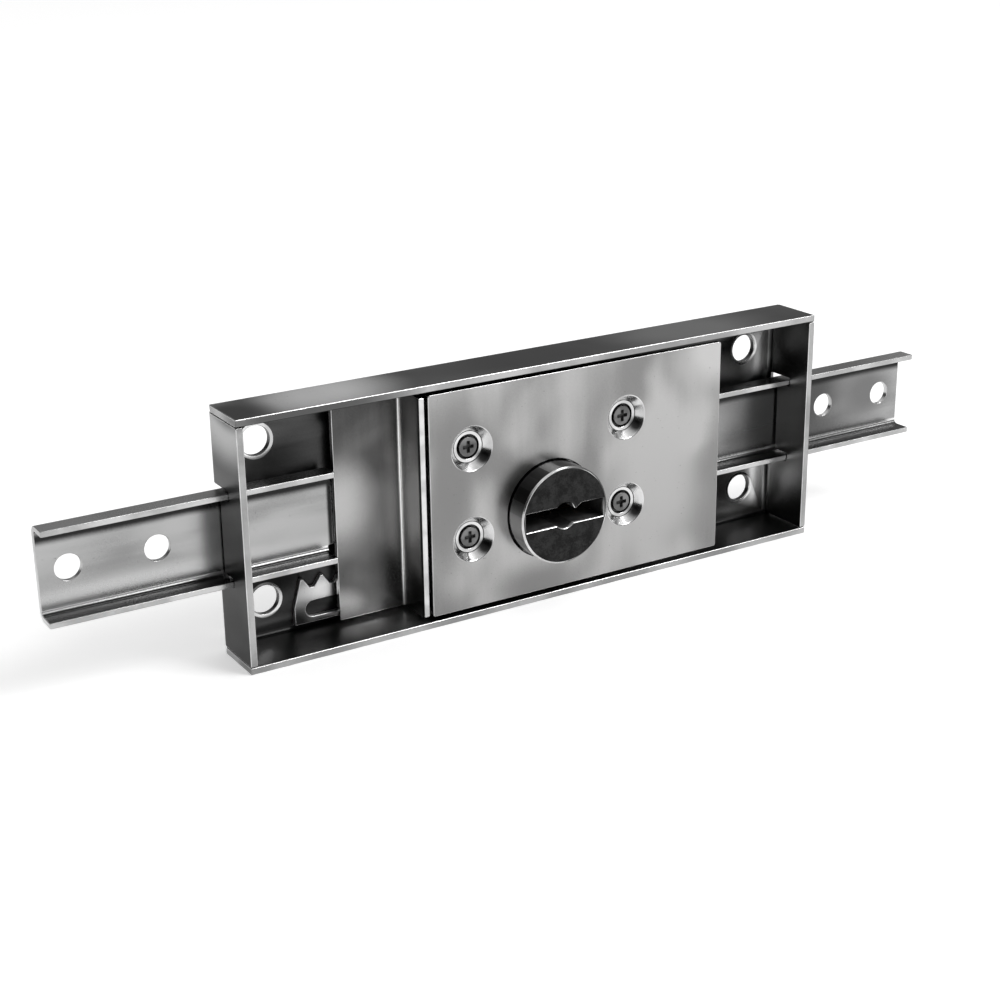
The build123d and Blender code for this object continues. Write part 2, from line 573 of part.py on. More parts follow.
def make_tumbler(index):
    """A flat tumbler with windows for the key's bits and stem, round ends and a lug for its spring."""
    side = tumbler_side(index)
    depth = tumbler_depth(index)
    front = depth - TUMBLER_THICKNESS / 2
    back = depth + TUMBLER_THICKNESS / 2
    radius = PLUG_RADIUS - TUMBLER_INSET
    tumbler = rod(radius, front, back) & block(-radius, radius, front, back,
                                               -TUMBLER_HALF_HEIGHT, TUMBLER_HALF_HEIGHT)
    lug_left = min(side * LUG_PLACE, side * (LUG_PLACE + LUG_WIDTH))
    lug_top = side * (TUMBLER_HALF_HEIGHT + LUG_HEIGHT - TUMBLER_CLEARANCE)
    tumbler += block(lug_left, lug_left + LUG_WIDTH, front, back, min(0, lug_top), max(0, lug_top))
    window = TUMBLER_WINDOWS[index]
    half_height = KEYWAY_HEIGHT / 2 + TUMBLER_WINDOW_CLEARANCE
    tumbler -= block(-window, window, front - 1, back + 1, -half_height, half_height)
    stem_height = STEM_RADIUS + TUMBLER_WINDOW_CLEARANCE
    stem_width = stem_height + TUMBLER_TRAVEL
    return tumbler - block(-stem_width, stem_width, front - 1, back + 1, -stem_height, stem_height)


def make_tumbler_spring(index):
    """The coil spring that pushes a tumbler out of the barrel."""
    side = tumbler_side(index)
    mean_radius = SPRING_RADIUS - SPRING_WIRE / 2
    height = SPRING_LENGTH - SPRING_WIRE
    path = Helix(pitch=height / SPRING_TURNS, height=height, radius=mean_radius)
    section = Plane(origin=path @ 0, z_dir=path % 0) * Circle(SPRING_WIRE / 2)
    coil = sweep(section, path=path)
    start = min(side * LUG_PLACE, side * (LUG_PLACE - SPRING_LENGTH)) + SPRING_WIRE / 2
    return Pos(start, tumbler_depth(index), side * SPRING_HEIGHT) * Rot(0, 90, 0) * coil


def make_housing():
    """The ring that the plug turns in, with two grooves for the tumblers and two legs to the floor."""
    ring = rod(HOUSING_RADIUS, HOUSING_FRONT, HOUSING_BACK)
    legs = rod(HOUSING_RADIUS, HOUSING_BACK, FLOOR)
    legs &= block(-HOUSING_RADIUS, HOUSING_RADIUS, HOUSING_BACK, FLOOR,
                  -HOUSING_LEG_HALF_HEIGHT, HOUSING_LEG_HALF_HEIGHT)
    housing = ring + legs - rod(HOUSING_BORE, HOUSING_FRONT - 1, FLOOR + 1)
    reach = HOUSING_BORE + GROOVE_DEPTH
    half = TUMBLER_HALF_HEIGHT + GROOVE_SIDE_GAP
    housing -= block(-reach, reach, HOUSING_FRONT - 1, HOUSING_BACK - GROOVE_BACK_WALL, -half, half)
    for x in housing_screw_places().values():
        housing -= rod(HOUSING_SCREW_RADIUS + SCREW_HOLE_CLEARANCE,
                       CASE_DEPTH - HOUSING_SCREW_LENGTH - SCREW_HOLE_CLEARANCE, FLOOR + 1, x)
    return housing


def make_bush():
    """The bush in the floor that carries the plug's journal."""
    bush = rod(BUSH_RADIUS, FLOOR - BUSH_PROUD, CASE_DEPTH)
    return bush - rod(JOURNAL_RADIUS + JOURNAL_CLEARANCE, FLOOR - 1, CASE_DEPTH + 1)


def make_pillar(x, z):
    """A round pillar riveted to the floor, tapped for a cover screw."""
    pillar = rod(PILLAR_RADIUS, PILLAR_FRONT, FLOOR, x, z)
    pillar += rod(SPIGOT_RADIUS, FLOOR, CASE_DEPTH, x, z)
    thread = SCREW_RADIUS + SCREW_HOLE_CLEARANCE
    return pillar - rod(thread, PILLAR_FRONT - 1, PILLAR_FRONT + PILLAR_THREAD_DEPTH, x, z)


def make_cover_screw(x, z):
    """A cheese-head screw with a cross recess, sunk in a dimple's counterbore."""
    top = SCREW_SEAT - SCREW_HEAD_HEIGHT
    head = rod(SCREW_HEAD_RADIUS, top, SCREW_SEAT, x, z)
    screw = head + rod(SCREW_RADIUS, SCREW_SEAT, SCREW_SEAT + SCREW_LENGTH, x, z)
    for long, wide in ((CROSS_LENGTH, CROSS_WIDTH), (CROSS_WIDTH, CROSS_LENGTH)):
        screw -= block(x - long / 2, x + long / 2, top - 1, top + CROSS_DEPTH, z - wide / 2, z + wide / 2)
    return screw


def make_housing_screw(x):
    """A countersunk screw from the back of the floor into a leg of the housing."""
    start = CASE_DEPTH - HOUSING_SCREW_LENGTH
    screw = rod(HOUSING_SCREW_RADIUS, start, CASE_DEPTH, x) + countersink(x, 0.0)
    half = HOUSING_SCREW_SLOT / 2
    return screw - block(x - HOUSING_SCREW_HEAD, x + HOUSING_SCREW_HEAD, CASE_DEPTH - HOUSING_SCREW_SLOT,
                         CASE_DEPTH + 1, -half, half)


def make_bracket_post(z):
    """A post from the floor to the back of the bracket's foot."""
    post = rod(BRACKET_POST_RADIUS, BRACKET_BACK, FLOOR, BRACKET_POST_PLACE, z)
    return post + rod(SMALL_SPIGOT_RADIUS, FLOOR, CASE_DEPTH, BRACKET_POST_PLACE, z)


def make_guide_pin():
    """The headed pin in the lower rack's slot."""
    head_back = RACK_FRONT - SLIDE_GAP
    head_front = head_back - GUIDE_HEAD_THICKNESS
    pin = rod(GUIDE_HEAD_RADIUS, head_front, head_back, GUIDE_PIN_PLACE, GUIDE_SLOT_PLACE)
    pin += rod(GUIDE_PIN_RADIUS, head_back, FLOOR, GUIDE_PIN_PLACE, GUIDE_SLOT_PLACE)
    return pin + rod(SMALL_SPIGOT_RADIUS, FLOOR, CASE_DEPTH, GUIDE_PIN_PLACE, GUIDE_SLOT_PLACE)


def make_rivet(x, z):
    """A flush rivet through a bar's tail and its rack."""
    return rod(RIVET_RADIUS, WEB_FRONT, RACK_BACK, x, z)


def all_parts():
    """Every piece by its name."""
    parts = {
        "case": make_case(),
        "left_wall_tongue": make_wall_tongue(-1),
        "right_wall_tongue": make_wall_tongue(1),
        "cover_plate": make_cover(),
        "side_bracket": make_bracket(),
        "cylinder_housing": make_housing(),
        "rear_bush": make_bush(),
        "rack_guide_pin": make_guide_pin(),
        "bracket_post_low": make_bracket_post(BRACKET_POST_LOW),
        "bracket_post_high": make_bracket_post(BRACKET_POST_HIGH),
        "key_plug": make_plug(),
        "drive_pinion": make_pinion(),
        "left_bolt_bar": make_bar(-1, LEFT_FLANGE_END, LEFT_TAIL_END),
        "upper_rack": make_upper_rack(),
        "right_bolt_bar": make_bar(1, RIGHT_FLANGE_END, RIGHT_TAIL_END),
        "lower_rack": make_lower_rack(),
    }
    for name, (x, z) in screw_places().items():
        parts["cover_pillar_" + name] = make_pillar(x, z)
        parts["cover_screw_" + name] = make_cover_screw(x, z)
    for name, x in housing_screw_places().items():
        parts["housing_screw_" + name] = make_housing_screw(x)
    for name, side in (("upper_rack_rivet", -1), ("lower_rack_rivet", 1)):
        for number, (x, z) in enumerate(rivet_places(side), 1):
            parts[f"{name}_{number}"] = make_rivet(x, z)
    for index in range(TUMBLER_COUNT):
        parts[f"tumbler_{index + 1}"] = make_tumbler(index)
        parts[f"tumbler_spring_{index + 1}"] = make_tumbler_spring(index)
    return parts


os.makedirs("parts", exist_ok=True)
for node, shape in all_parts().items():
    export_step(shape, f"parts/{node}.step")
print("tray", CASE_LENGTH, "by", CASE_HEIGHT, "by", round(CASE_DEPTH, 3), "mm")
print("travel of each bar", round(TRAVEL, 3), "mm; guide pin at", round(GUIDE_PIN_PLACE, 2))
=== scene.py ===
# %% [markdown]
# # A double-throw lock for a roller shutter
# The real lock is pressed and folded from steel sheet: a flat tray, a cover, a bent bracket and two
# channel bars, with one round key head turned and cast in solid metal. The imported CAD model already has
# every piece in place, so this lesson only gives the pieces that show the forms and the metal of the real
# ones.

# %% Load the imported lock
import math

import bpy
import numpy as np
from mathutils import Matrix, Vector
from mathutils.geometry import delaunay_2d_cdt


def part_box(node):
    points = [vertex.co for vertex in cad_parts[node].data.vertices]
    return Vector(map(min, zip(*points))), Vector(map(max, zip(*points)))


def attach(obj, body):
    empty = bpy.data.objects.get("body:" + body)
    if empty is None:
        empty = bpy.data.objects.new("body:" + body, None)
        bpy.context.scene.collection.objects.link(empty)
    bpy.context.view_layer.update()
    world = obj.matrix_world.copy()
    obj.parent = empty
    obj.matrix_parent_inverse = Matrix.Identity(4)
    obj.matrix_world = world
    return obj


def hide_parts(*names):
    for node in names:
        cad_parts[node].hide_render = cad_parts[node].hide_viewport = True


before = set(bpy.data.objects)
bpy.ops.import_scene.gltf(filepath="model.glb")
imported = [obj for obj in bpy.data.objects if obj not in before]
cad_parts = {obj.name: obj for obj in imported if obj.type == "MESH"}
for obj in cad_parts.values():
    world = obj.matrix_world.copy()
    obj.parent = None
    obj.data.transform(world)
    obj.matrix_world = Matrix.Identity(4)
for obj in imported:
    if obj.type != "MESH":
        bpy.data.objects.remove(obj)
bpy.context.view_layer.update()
scene = bpy.context.scene
MM = 0.001

# %% [markdown]
# ## The camera
# A catalogue view is taken from the left and a little above, with a normal lens. The camera could be
# aimed with a constraint, but three values say it better: its place, the point that it looks at, and how
# far it is rolled.

# %% Place the camera
LOOK_FROM = (-0.20087, -0.30641, 0.13545)
LOOK_AT = (-0.013441, 0.0, 0.004737)
ROLL = math.radians(-0.768)
LENS = 64.49
CLIP_START = 0.01


def put_in_scene(name, data):
    """A new object that holds the data, linked to the scene."""
    made = bpy.data.objects.new(name, data)
    scene.collection.objects.link(made)
    return made


def aimed(place, point, roll=0.0):
    """The matrix of an object at place whose minus Z axis meets the point, turned about that axis."""
    aim = (Vector(point) - Vector(place)).to_track_quat("-Z", "Y").to_matrix().to_4x4()
    return Matrix.Translation(place) @ aim @ Matrix.Rotation(roll, 4, "Z")


camera = put_in_scene("catalogue_camera", bpy.data.cameras.new("catalogue_camera"))
camera.data.lens = LENS
camera.data.clip_start = CLIP_START
camera.matrix_world = aimed(LOOK_FROM, LOOK_AT, ROLL)
scene.camera = camera
print("camera at", [round(c, 3) for c in camera.location], "lens", LENS)

# %% [markdown]
# ## Wires for the shader boards
# A material is a board of nodes, and long boards are hard to read as lists of links. So one small class
# wraps a socket: adding or multiplying two wires adds the node that does it. A board then has one method
# for every other kind of node.

# %% Wires and boards


class Wire:
    """One output socket, with operators that add Math nodes, or Vector Math nodes on a vector."""

    def __init__(self, board, socket):
        self.board = board
        self.socket = socket

    def pick(self, name):
        """Another output of the same node."""
        return Wire(self.board, self.socket.node.outputs[name])

    def combine(self, operation, *terms):
        if self.socket.type != "VECTOR":
            return self.board.math(operation, *terms)
        terms = [(term,) * 3 if isinstance(term, (int, float)) else term for term in terms]
        return self.board.math(operation, *terms, kind="ShaderNodeVectorMath")

    def __add__(self, other):
        return self.combine("ADD", self, other)

    def __sub__(self, other):
        return self.combine("SUBTRACT", self, other)

    def __rsub__(self, other):
        return self.combine("SUBTRACT", other, self)

    def __mul__(self, other):
        return self.combine("MULTIPLY", self, other)

    __radd__ = __add__
    __rmul__ = __mul__


class Board:
    """The nodes of one material or of the world."""

    def __init__(self, owner):
        owner.use_nodes = True
        self.tree = owner.node_tree
        self.tree.nodes.clear()

    def node(self, kind, settings=None, sockets=None):
        """Adds a node: settings first, then each socket's value or wire. Gives its first output."""
        made = self.tree.nodes.new(kind)
        for name, value in (settings or {}).items():
            if name == "stops":
                self.set_stops(made.color_ramp, value)
            else:
                setattr(made, name, value)
        for name, value in (sockets or {}).items():
            if isinstance(value, Wire):
                self.tree.links.new(value.socket, made.inputs[name])
            else:
                made.inputs[name].default_value = value
        return Wire(self, made.outputs[0]) if made.outputs else None

    def math(self, operation, *terms, kind="ShaderNodeMath"):
        """A Math node, or a node of a like kind."""
        return self.node(kind, {"operation": operation}, dict(enumerate(terms)))

    def set_stops(self, ramp, stops):
        """Gives a smooth ramp its stops, each a place and a grey level."""
        ramp.interpolation = "EASE"
        while len(ramp.elements) < len(stops):
            ramp.elements.new(1.0)
        for element, (place, level) in zip(ramp.elements, stops):
            element.position = place
            element.color = grey(level)

    def ramp(self, wire, stops):
        """A value turned into another by a smooth curve through stops."""
        return self.node("ShaderNodeValToRGB", {"stops": stops}, {0: wire})

    def noise(self, place, detail=2.0, roughness=0.5, distortion=0.0):
        """Noise between 0 and 1 with features one unit of place apart."""
        sockets = {"Vector": place, "Scale": 1.0, "Detail": detail, "Roughness": roughness,
                   "Distortion": distortion}
        return self.node("ShaderNodeTexNoise", None, sockets)

    def mix(self, mask, first, second, blend="MIX"):
        """Two colours or shades of grey mixed by a mask."""
        settings = {"data_type": "RGBA", "blend_type": blend}
        return self.node("ShaderNodeMix", settings, {0: mask, 6: first, 7: second}).pick(2)

    def patch(self, place, centre, reach, wobble):
        """A soft patch: 1 at its centre, falling to 0 where the distance, measured in reaches, is 1."""
        away = (place - centre) * per(reach)
        distance = self.math("LENGTH", away, kind="ShaderNodeVectorMath").pick("Value")
        return self.ramp(distance + wobble, [(0.25, 1.0), (1.0, 0.0)])

    def surface(self, shader):
        self.node("ShaderNodeOutputMaterial", None, {"Surface": shader})

    def metal(self, base, roughness, height, strength=0.4, relief=0.00001, metallic=1.0):
        """The surface of a metal, with fine relief, in metres, from a height."""
        bump = self.node("ShaderNodeBump", None, {
            "Strength": strength, "Distance": relief, "Height": height})
        self.surface(self.node("ShaderNodeBsdfPrincipled", None, {
            "Base Color": base, "Metallic": metallic, "Roughness": roughness, "Normal": bump}))


def grey(level, warmth=0.0):
    """A grey, a little warm or cool."""
    return (level * (1 + warmth), level, level * (1 - warmth), 1.0)


def per(sizes):
    """One over each size."""
    return tuple(1 / size for size in sizes)


def new_material(name):
    """A material, its board, and the point being shaded, in millimetres on the object's own axes."""
    material = bpy.data.materials.new(name)
    board = Board(material)
    place = board.node("ShaderNodeTexCoord").pick("Object")
    return material, board, board.node("ShaderNodeVectorMath", {"operation": "SCALE"}, {0: place, 3: 1 / MM})


print("wires and boards ready")

# %% [markdown]
# ## The metals
# Plated steel is never one flat grey. The bath leaves broad lighter and darker fields, rolling leaves
# faint streaks along the sheet, and the skin holds fine grain and a few tiny specks. All of this could be
# painted, but layers of noise in real millimetres do it everywhere. Light and shade are painted in as
# well: soft patches, each with a centre and a reach, paint highlights, reflections and shade into a
# piece's grey.

# %% Sheet metal finishes
CONTRAST = [(0.38, 0.0), (0.62, 1.0)]
SHEET_CONTRAST = [(0.36, 0.0), (0.64, 1.0)]
SPECK_CUT = [(0.70, 0.0), (0.74, 1.0)]


def sheet_metal(name, dark, light, field, roughness, streak=(1.5, 1.5, 1.5), streaky=0.12, warmth=0.0,
                specks=0.5, patches=(), metallic=1.0):
    """Plated sheet. Field and streak are the sizes of those features along X, Y and Z, in millimetres.

    In words: tone is mostly broad fields with a share of streaks, pushed apart by a ramp, plus a little
    grain. Colour runs from dark to light with the tone. Each patch, a centre, a reach and a grey, then
    pulls the colour to its grey: this paints light and shade. Roughness falls a little where it is light,
    and specks darken points.
    Metallic is near 0 where a wall deep in shade has to keep its own grey.
    """
    material, board, place = new_material(name)
    fields = board.noise(place * per(field), detail=1.5, distortion=0.3)
    streaks = board.noise(place * per(streak), detail=3.0, roughness=0.6)
    fine = board.noise(place * 5.0, detail=3.0, roughness=0.7)
    tone = board.ramp(fields * (1 - streaky) + streaks * streaky, SHEET_CONTRAST)
    base = board.mix(tone + (fine - 0.5) * 0.5, grey(dark, warmth), grey(light, warmth))
    if patches:
        # Painted light and shade: each patch pulls the grey up for a highlight or a reflection, down for
        # shade.
        wobble = (fields - 0.5) * 0.5 + (fine - 0.5) * 0.2
    for centre, reach, level in patches:
        base = board.mix(board.patch(place, centre, reach, wobble), base, grey(level, warmth))
    dust = board.ramp(board.noise(place * 1.7, roughness=0.7), SPECK_CUT)
    base = board.mix(dust * specks, base, grey(dark * 0.3, warmth))
    board.metal(base, roughness + 0.06 * fine - 0.04 * tone, fine, 0.5, metallic=metallic)
    return material


def bright_metal(name, light, patches):
    """A polished edge or lip, or an arris with a painted highlight line: almost white, with hardly a speck.
    """
    return sheet_metal(name, 0.60, light, (4, 4, 4), 0.14, specks=0.1, patches=patches)


# The tray gets a far darker grey than the bars' plated steel: painted shade and dark reflections. Its
# patches paint reflections and shade: the left wall light at the top and dark below, light and dark fields
# along the top, light fields on the floor and the bottom wall, the right wall darker at its top, and dark
# lines over the inner bends.
TRAY_STEEL = sheet_metal("tray_steel", 0.035, 0.10, (30, 26, 20), 0.32, (40, 40, 3), patches=[
    ((-73, 7, 32), (7, 24, 12), 0.46), ((-73, 7, 2), (6, 24, 15), 0.02), ((-73, 7, -16), (4, 20, 12), 0.035),
    ((-50, 7, 34), (22, 18, 3.5), 0.95), ((-71, 5, 34), (10, 14, 5), 0.03), ((-3, 7, 34), (30, 18, 5), 0.03),
    ((40, 7, 34), (26, 18, 5), 0.22), ((72, 7, 6), (5, 16, 28), 0.34),
    ((67, 13.3, -10), (14, 1.6, 14), 0.85), ((69, 13.3, 24), (9, 1.6, 12), 0.35),
    ((-39, 7, -21), (13, 14, 4), 0.60), ((-36, 7, -21), (9, 12, 5), 0.90),
    ((70.9, 13.1, 6), (0.9, 0.9, 60), 0.03), ((0, 12.9, -19.2), (1000, 1.2, 1.0), 0.02),
    ((60, 13.3, 20), (13, 1.6, 5), 0.50), ((71, 6, 24), (2.5, 10, 10), 0.04),
])
# The patch is painted shade on the top rim, towards the left.
TRAY_EDGE = sheet_metal("tray_edge", 0.32, 0.54, (18, 9, 18), 0.24, specks=0.15,
                        patches=[((-58, 0, 32.2), (30, 8, 3), 0.11)])
# The patches paint reflections on the cover: lighter to the right of the head and at the top right, darker
# below the head and towards both ends.
COVER_NICKEL = sheet_metal("cover_nickel", 0.27, 0.52, (17, 20, 26), 0.30, (5, 8, 60), 0.10, 0.006, patches=[
    ((28, 0, -2), (17, 9, 24), 0.50), ((47, 0, 0), (9, 9, 20), 0.28), ((-4, 0, -17), (16, 9, 9), 0.27),
    ((-25, 0, 12), (9, 9, 26), 0.26), ((45, 0, 29), (14, 9, 11), 0.60),
])
# The patches paint light and shade on the bracket: lighter fields on the foot, a painted highlight down the
# wall and in its inner bend, shade low on the wall, and a dark line along the wall's front edge.
BRACKET_NICKEL = sheet_metal(
    "bracket_nickel", 0.07, 0.18, (20, 26, 16), 0.24, (5, 9, 60), 0.10, 0.006, patches=[
    ((-47, 8, 7), (11, 6, 14), 0.52), ((-48, 8, -15), (8, 6, 5), 0.42), ((-31, 3, 6), (3, 9, 36), 0.70),
    ((-32, 4, 7), (2, 5.5, 21), 1.0), ((-32, 4, -14), (2, 6, 8), 0.05),
    ((-32.2, 1.1, 6), (0.8, 0.7, 60), 0.02), ((-32.4, 9.3, 6), (0.5, 0.6, 60), 1.0),
])
# The patches paint light and shade on the bars: shade under the upper flange and along the foot of the web,
# a highlight along the lower bend, a shadow strip where the left bar passes the bracket, a lighter field low
# on the left bar, and dark reflections on the right bar and its upper flange.
BAR_STEEL = sheet_metal("bar_steel", 0.30, 0.50, (30, 26, 12), 0.26, (50, 50, 2.5), 0.15, patches=[
    ((74, 11, 8), (40, 14, 22), 0.10), ((100, 11, 8), (14, 10, 12), 0.20), ((-90, 11, -1), (60, 6, 5), 0.62),
    ((0, 11, 13.0), (1000, 4, 2.0), 0.03), ((0, 8, -2.9), (1000, 8, 0.9), 0.04),
    ((0, 10.9, -1.65), (1000, 0.9, 0.40), 0.95), ((70, 9, 16.3), (60, 9, 1.2), 0.22),
    ((0, 10.2, -2.6), (1000, 1.3, 0.65), 0.04), ((-48.4, 11, 6), (0.9, 14, 30), 0.03),
])
# The patches paint a lighter field below the teeth, and shade at the lower left and under the guide slot.
RACK_STEEL = sheet_metal("rack_steel", 0.28, 0.50, (10, 10, 7), 0.30, (20, 20, 2), patches=[
    ((-49, 12, -11.5), (9, 3, 3.4), 0.85), ((-57, 12, -17.8), (5, 3, 3.8), 0.07),
    ((-48, 12, -18.6), (9, 3, 1.6), 0.10),
])
CUT_EDGE = sheet_metal("cut_edge", 0.44, 0.66, (9, 9, 9), 0.22, specks=0.15)
# A near-black finish for painted shade lines: the bores of the fixing holes and the dark rings and
# counterbores of the dimples.
SHADE_LINE_METAL = sheet_metal("painted_shade_line", 0.03, 0.08, (9, 9, 9), 0.30, specks=0.15)
# An almost white finish for painted highlight lines along the tray's arrises, the rings of its fixing holes
# and the bracket's edges. Its patches paint shade over the top wall's inner arris and the right wall's front
# arris.
HIGHLIGHT_RIM = bright_metal("painted_highlight_rim", 0.82, [
    ((0, 0, 31.5), (1000, 1, 0.7), 0.05), ((72.75, 0, 6), (0.5, 1, 40), 0.10),
])
# The chamfer and keyway edges are turned bright. The patches paint shade on the top, the right and the lower
# right of the ring, and along the keyway's upper edge.
POLISHED_EDGE = bright_metal("polished_edge", 0.90, [
    ((3, -5, 10.5), (8, 2, 2.2), 0.20), ((6, -5, -8), (9, 4, 8), 0.05),
    ((10, -5, 4), (5, 4, 8), 0.10), ((0, -5, 2.9), (10.6, 1.0, 1.3), 0.04),
])
print("sheet metals", len(bpy.data.materials))

# %% [markdown]
# The key head is a casting in a darker metal. Its face keeps the skin of the mould, dull and a little
# rough, while its rim and the edge of the keyway are turned bright. Screws and springs are plain plated
# wire and bar, and the tumblers are brass.

# %% Cast and turned finishes
CLOUD_TIMES = 7


def cast_metal(name, dark, light, roughness, lump, relief):
    """A casting's skin: small lumps in relief, and a tone mottled by them and by clouds much larger."""
    material, board, place = new_material(name)
    lumps = board.noise(place * (1 / lump), detail=4.0, roughness=0.65)
    clouds = board.noise(place * (1 / (lump * CLOUD_TIMES)))
    tone = board.ramp(lumps * 0.5 + clouds * 0.5, CONTRAST)
    board.metal(board.mix(tone, grey(dark), grey(light)), roughness + 0.12 * lumps, lumps, 0.8, relief)
    return material


def turned_metal(name, dark, light, roughness):
    """Metal turned on a lathe: tool lines a quarter of a millimetre apart along Y, and clouds of tone."""
    material, board, place = new_material(name)
    lines = board.noise(place * (0.2, 4.0, 0.2))
    tone = board.ramp(lines * 0.4 + board.noise(place * 0.25) * 0.6, CONTRAST)
    board.metal(board.mix(tone, grey(dark), grey(light)), roughness + 0.08 * lines, lines)
    return material


def polished_round(name, dark, light, roughness, blocks, side_highlight):
    """A polished round side with painted reflections: blocks of light and dark round it.

    In words: the angle round Y, cut into equal blocks, picks a random grey for each block, and one soft
    patch of the side is lighter than the rest, a painted highlight.
    """
    material, board, place = new_material(name)
    parts = board.node("ShaderNodeSeparateXYZ", None, {0: place})
    angle = board.math("ARCTAN2", parts.pick("Z"), parts.pick("X"))
    block = board.math("FLOOR", angle * (blocks / (2 * math.pi)))
    chance = board.node("ShaderNodeTexWhiteNoise", {"noise_dimensions": "1D"}, {"W": block}).pick("Value")
    base = board.mix(board.ramp(chance, [(0.0, 0.0), (0.5, 0.15), (1.0, 1.0)]), grey(dark), grey(light))
    # The lighter patch is a painted highlight.
    centre, reach, level = side_highlight
    base = board.mix(board.patch(place, centre, reach, (chance - 0.5) * 0.6), base, grey(level))
    fine = board.noise(place * 5.0, detail=3.0)
    board.metal(base, roughness + 0.06 * fine, fine)
    return material


HEAD_FACE = cast_metal("head_face", 0.018, 0.042, 0.42, 0.35, 0.00004)
# The lighter patch on the left of the head's side is a painted highlight.
HEAD_SIDE = polished_round("head_side", 0.014, 0.24, 0.13, 23, ((-12, -2, -1), (6, 9, 5), 0.34))
# The patches paint light into the keyway: on its lower wall at the mouth and on both end walls.
KEYWAY_WALL = sheet_metal(
    "keyway_wall", 0.03, 0.07, (3, 3, 3), 0.45, (1, 1, 1), specks=0.2, metallic=0.1, patches=[
    ((0, -5.2, -2.4), (11, 1.3, 1.4), 0.50), ((-10.4, -5.2, 0), (1.2, 1.2, 3.2), 0.90),
    ((10.4, -5.2, 0), (1.2, 1.2, 3.2), 0.90),
])
SCREW_METAL = turned_metal("screw_metal", 0.13, 0.26, 0.26)
HOUSING_METAL = cast_metal("housing_metal", 0.22, 0.34, 0.36, 0.5, 0.00003)
PINION_METAL = turned_metal("pinion_metal", 0.24, 0.40, 0.28)
BRASS = sheet_metal("tumbler_brass", 0.42, 0.60, (6, 6, 6), 0.28, (8, 8, 1), 0.3, 0.35)
SPRING_WIRE = turned_metal("spring_wire", 0.30, 0.50, 0.22)
PILLAR_METAL = turned_metal("pillar_metal", 0.34, 0.55, 0.26)
print("metals", len(bpy.data.materials))

# %% [markdown]
# ## One way to make every sheet piece
# A press shop starts with a flat pattern, cuts its outline and holes, and folds it. A box with a bevel
# would look alike from afar, but a fold has its own inside and outside radius, and a cut edge catches a
# thin line of light. So a line runs round each outline or hole, an edge profile is carried along it from
# the front skin to the back skin, and a fold maps the flat pattern into the lock. Normals come from the
# same formulas, so flat faces stay flat and bends smooth.

# %% Rounded lines
SOFT_TURN = math.radians(20.0)
SAME_POINT = 1e-5


def unit(rows):
    """Each row as a vector of length 1."""
    return rows / (np.linalg.norm(rows, axis=1, keepdims=True) + 1e-12)


def rounded(points, radius, steps=4, closed=True):
    """A line through corners, each turned into an arc, and the line's normals.

    In words: a corner that turns by an angle starts its arc at radius times the tangent of half the angle
    before it. The arc's centre is one radius to the inner side, and the normal turns evenly from the first
    side's to the second's. The material lies on the left, so normals point right. A turn under SOFT_TURN
    stands for a curve, and its corner stays one point with the middle normal.
    """
    corner = np.asarray(points, float)
    radius = np.full(len(corner), radius, float)
    ahead = unit(np.roll(corner, -1, 0) - corner)
    behind = np.roll(ahead, 1, 0)
    if not closed:
        behind[0] = ahead[0]
        ahead[-1] = behind[-1]
    cross = behind[:, 0] * ahead[:, 1] - behind[:, 1] * ahead[:, 0]
    turn = np.arctan2(cross, (behind * ahead).sum(1))
    gentle = np.abs(turn) < SOFT_TURN
    radius[gentle] = 0
    signed = np.sign(turn) * radius
    angle = turn[:, None] * np.linspace(0, 1, steps + 1)
    cosine, sine = np.cos(angle), np.sin(angle)
    right_x, right_y = behind[:, 1, None], -behind[:, 0, None]
    normal = np.stack([cosine * right_x - sine * right_y, sine * right_x + cosine * right_y], 2)
    start = corner - behind * (radius * np.tan(np.abs(turn) / 2))[:, None]
    centre = start - signed[:, None] * normal[:, 0]
    arc = centre[:, None] + signed[:, None, None] * normal
    keep = np.ones(arc.shape[:2], bool)
    keep[gentle] = False
    keep[gentle, steps // 2] = True
    line, normal = arc[keep], normal[keep]
    fresh = np.linalg.norm(line - np.roll(line, 1, 0), axis=1) > SAME_POINT
    if not closed:
        fresh[0] = True
    return line[fresh], normal[fresh]


def outline(points, radius, hole=False):
    """A closed line with rounded corners, run so that the material lies on its left."""
    corner = np.asarray(points, float)
    radius = np.full(len(corner), radius, float)
    after = np.roll(corner, -1, 0)
    area = np.sum(corner[:, 0] * after[:, 1] - after[:, 0] * corner[:, 1])
    if (area < 0) != hole:
        corner, radius = corner[::-1], radius[::-1]
    return rounded(corner, radius)


def rectangle(x0, x1, z0, z1):
    return [(x0, z0), (x1, z0), (x1, z1), (x0, z1)]


def stepped(first, second, third, levels):
    """A C or T outline: along X it steps from the first line to the second and the third and back, and
    each two points share one of four levels."""
    along = [first, second, second, third, third, second, second, first]
    return np.stack([along, np.repeat(levels, 2)], 1)


def around(angle):
    """The direction at each angle."""
    return np.stack([np.cos(angle), np.sin(angle)], 1)


def circle(x, z, radius, count=48, hole=True):
    """A closed circle and the normals that point away from the material."""
    angle = np.linspace(0, 2 * np.pi, count, endpoint=False) * (-1 if hole else 1)
    direction = around(angle)
    return np.array([x, z]) + radius * direction, direction * (-1 if hole else 1)


def profile(path, radius, steps=3):
    """An edge profile: points as (out from the line, depth behind the front skin), corners rounded."""
    return rounded(path, radius, steps, closed=False)


def cut_profile(sheet, ease=0.14):
    """The profile of a plain cut edge, its two arrises eased."""
    return profile([(-ease, 0), (0, 0), (0, sheet), (-ease, sheet)], ease)


print("a cut profile has", len(cut_profile(1.5)[0]), "points")

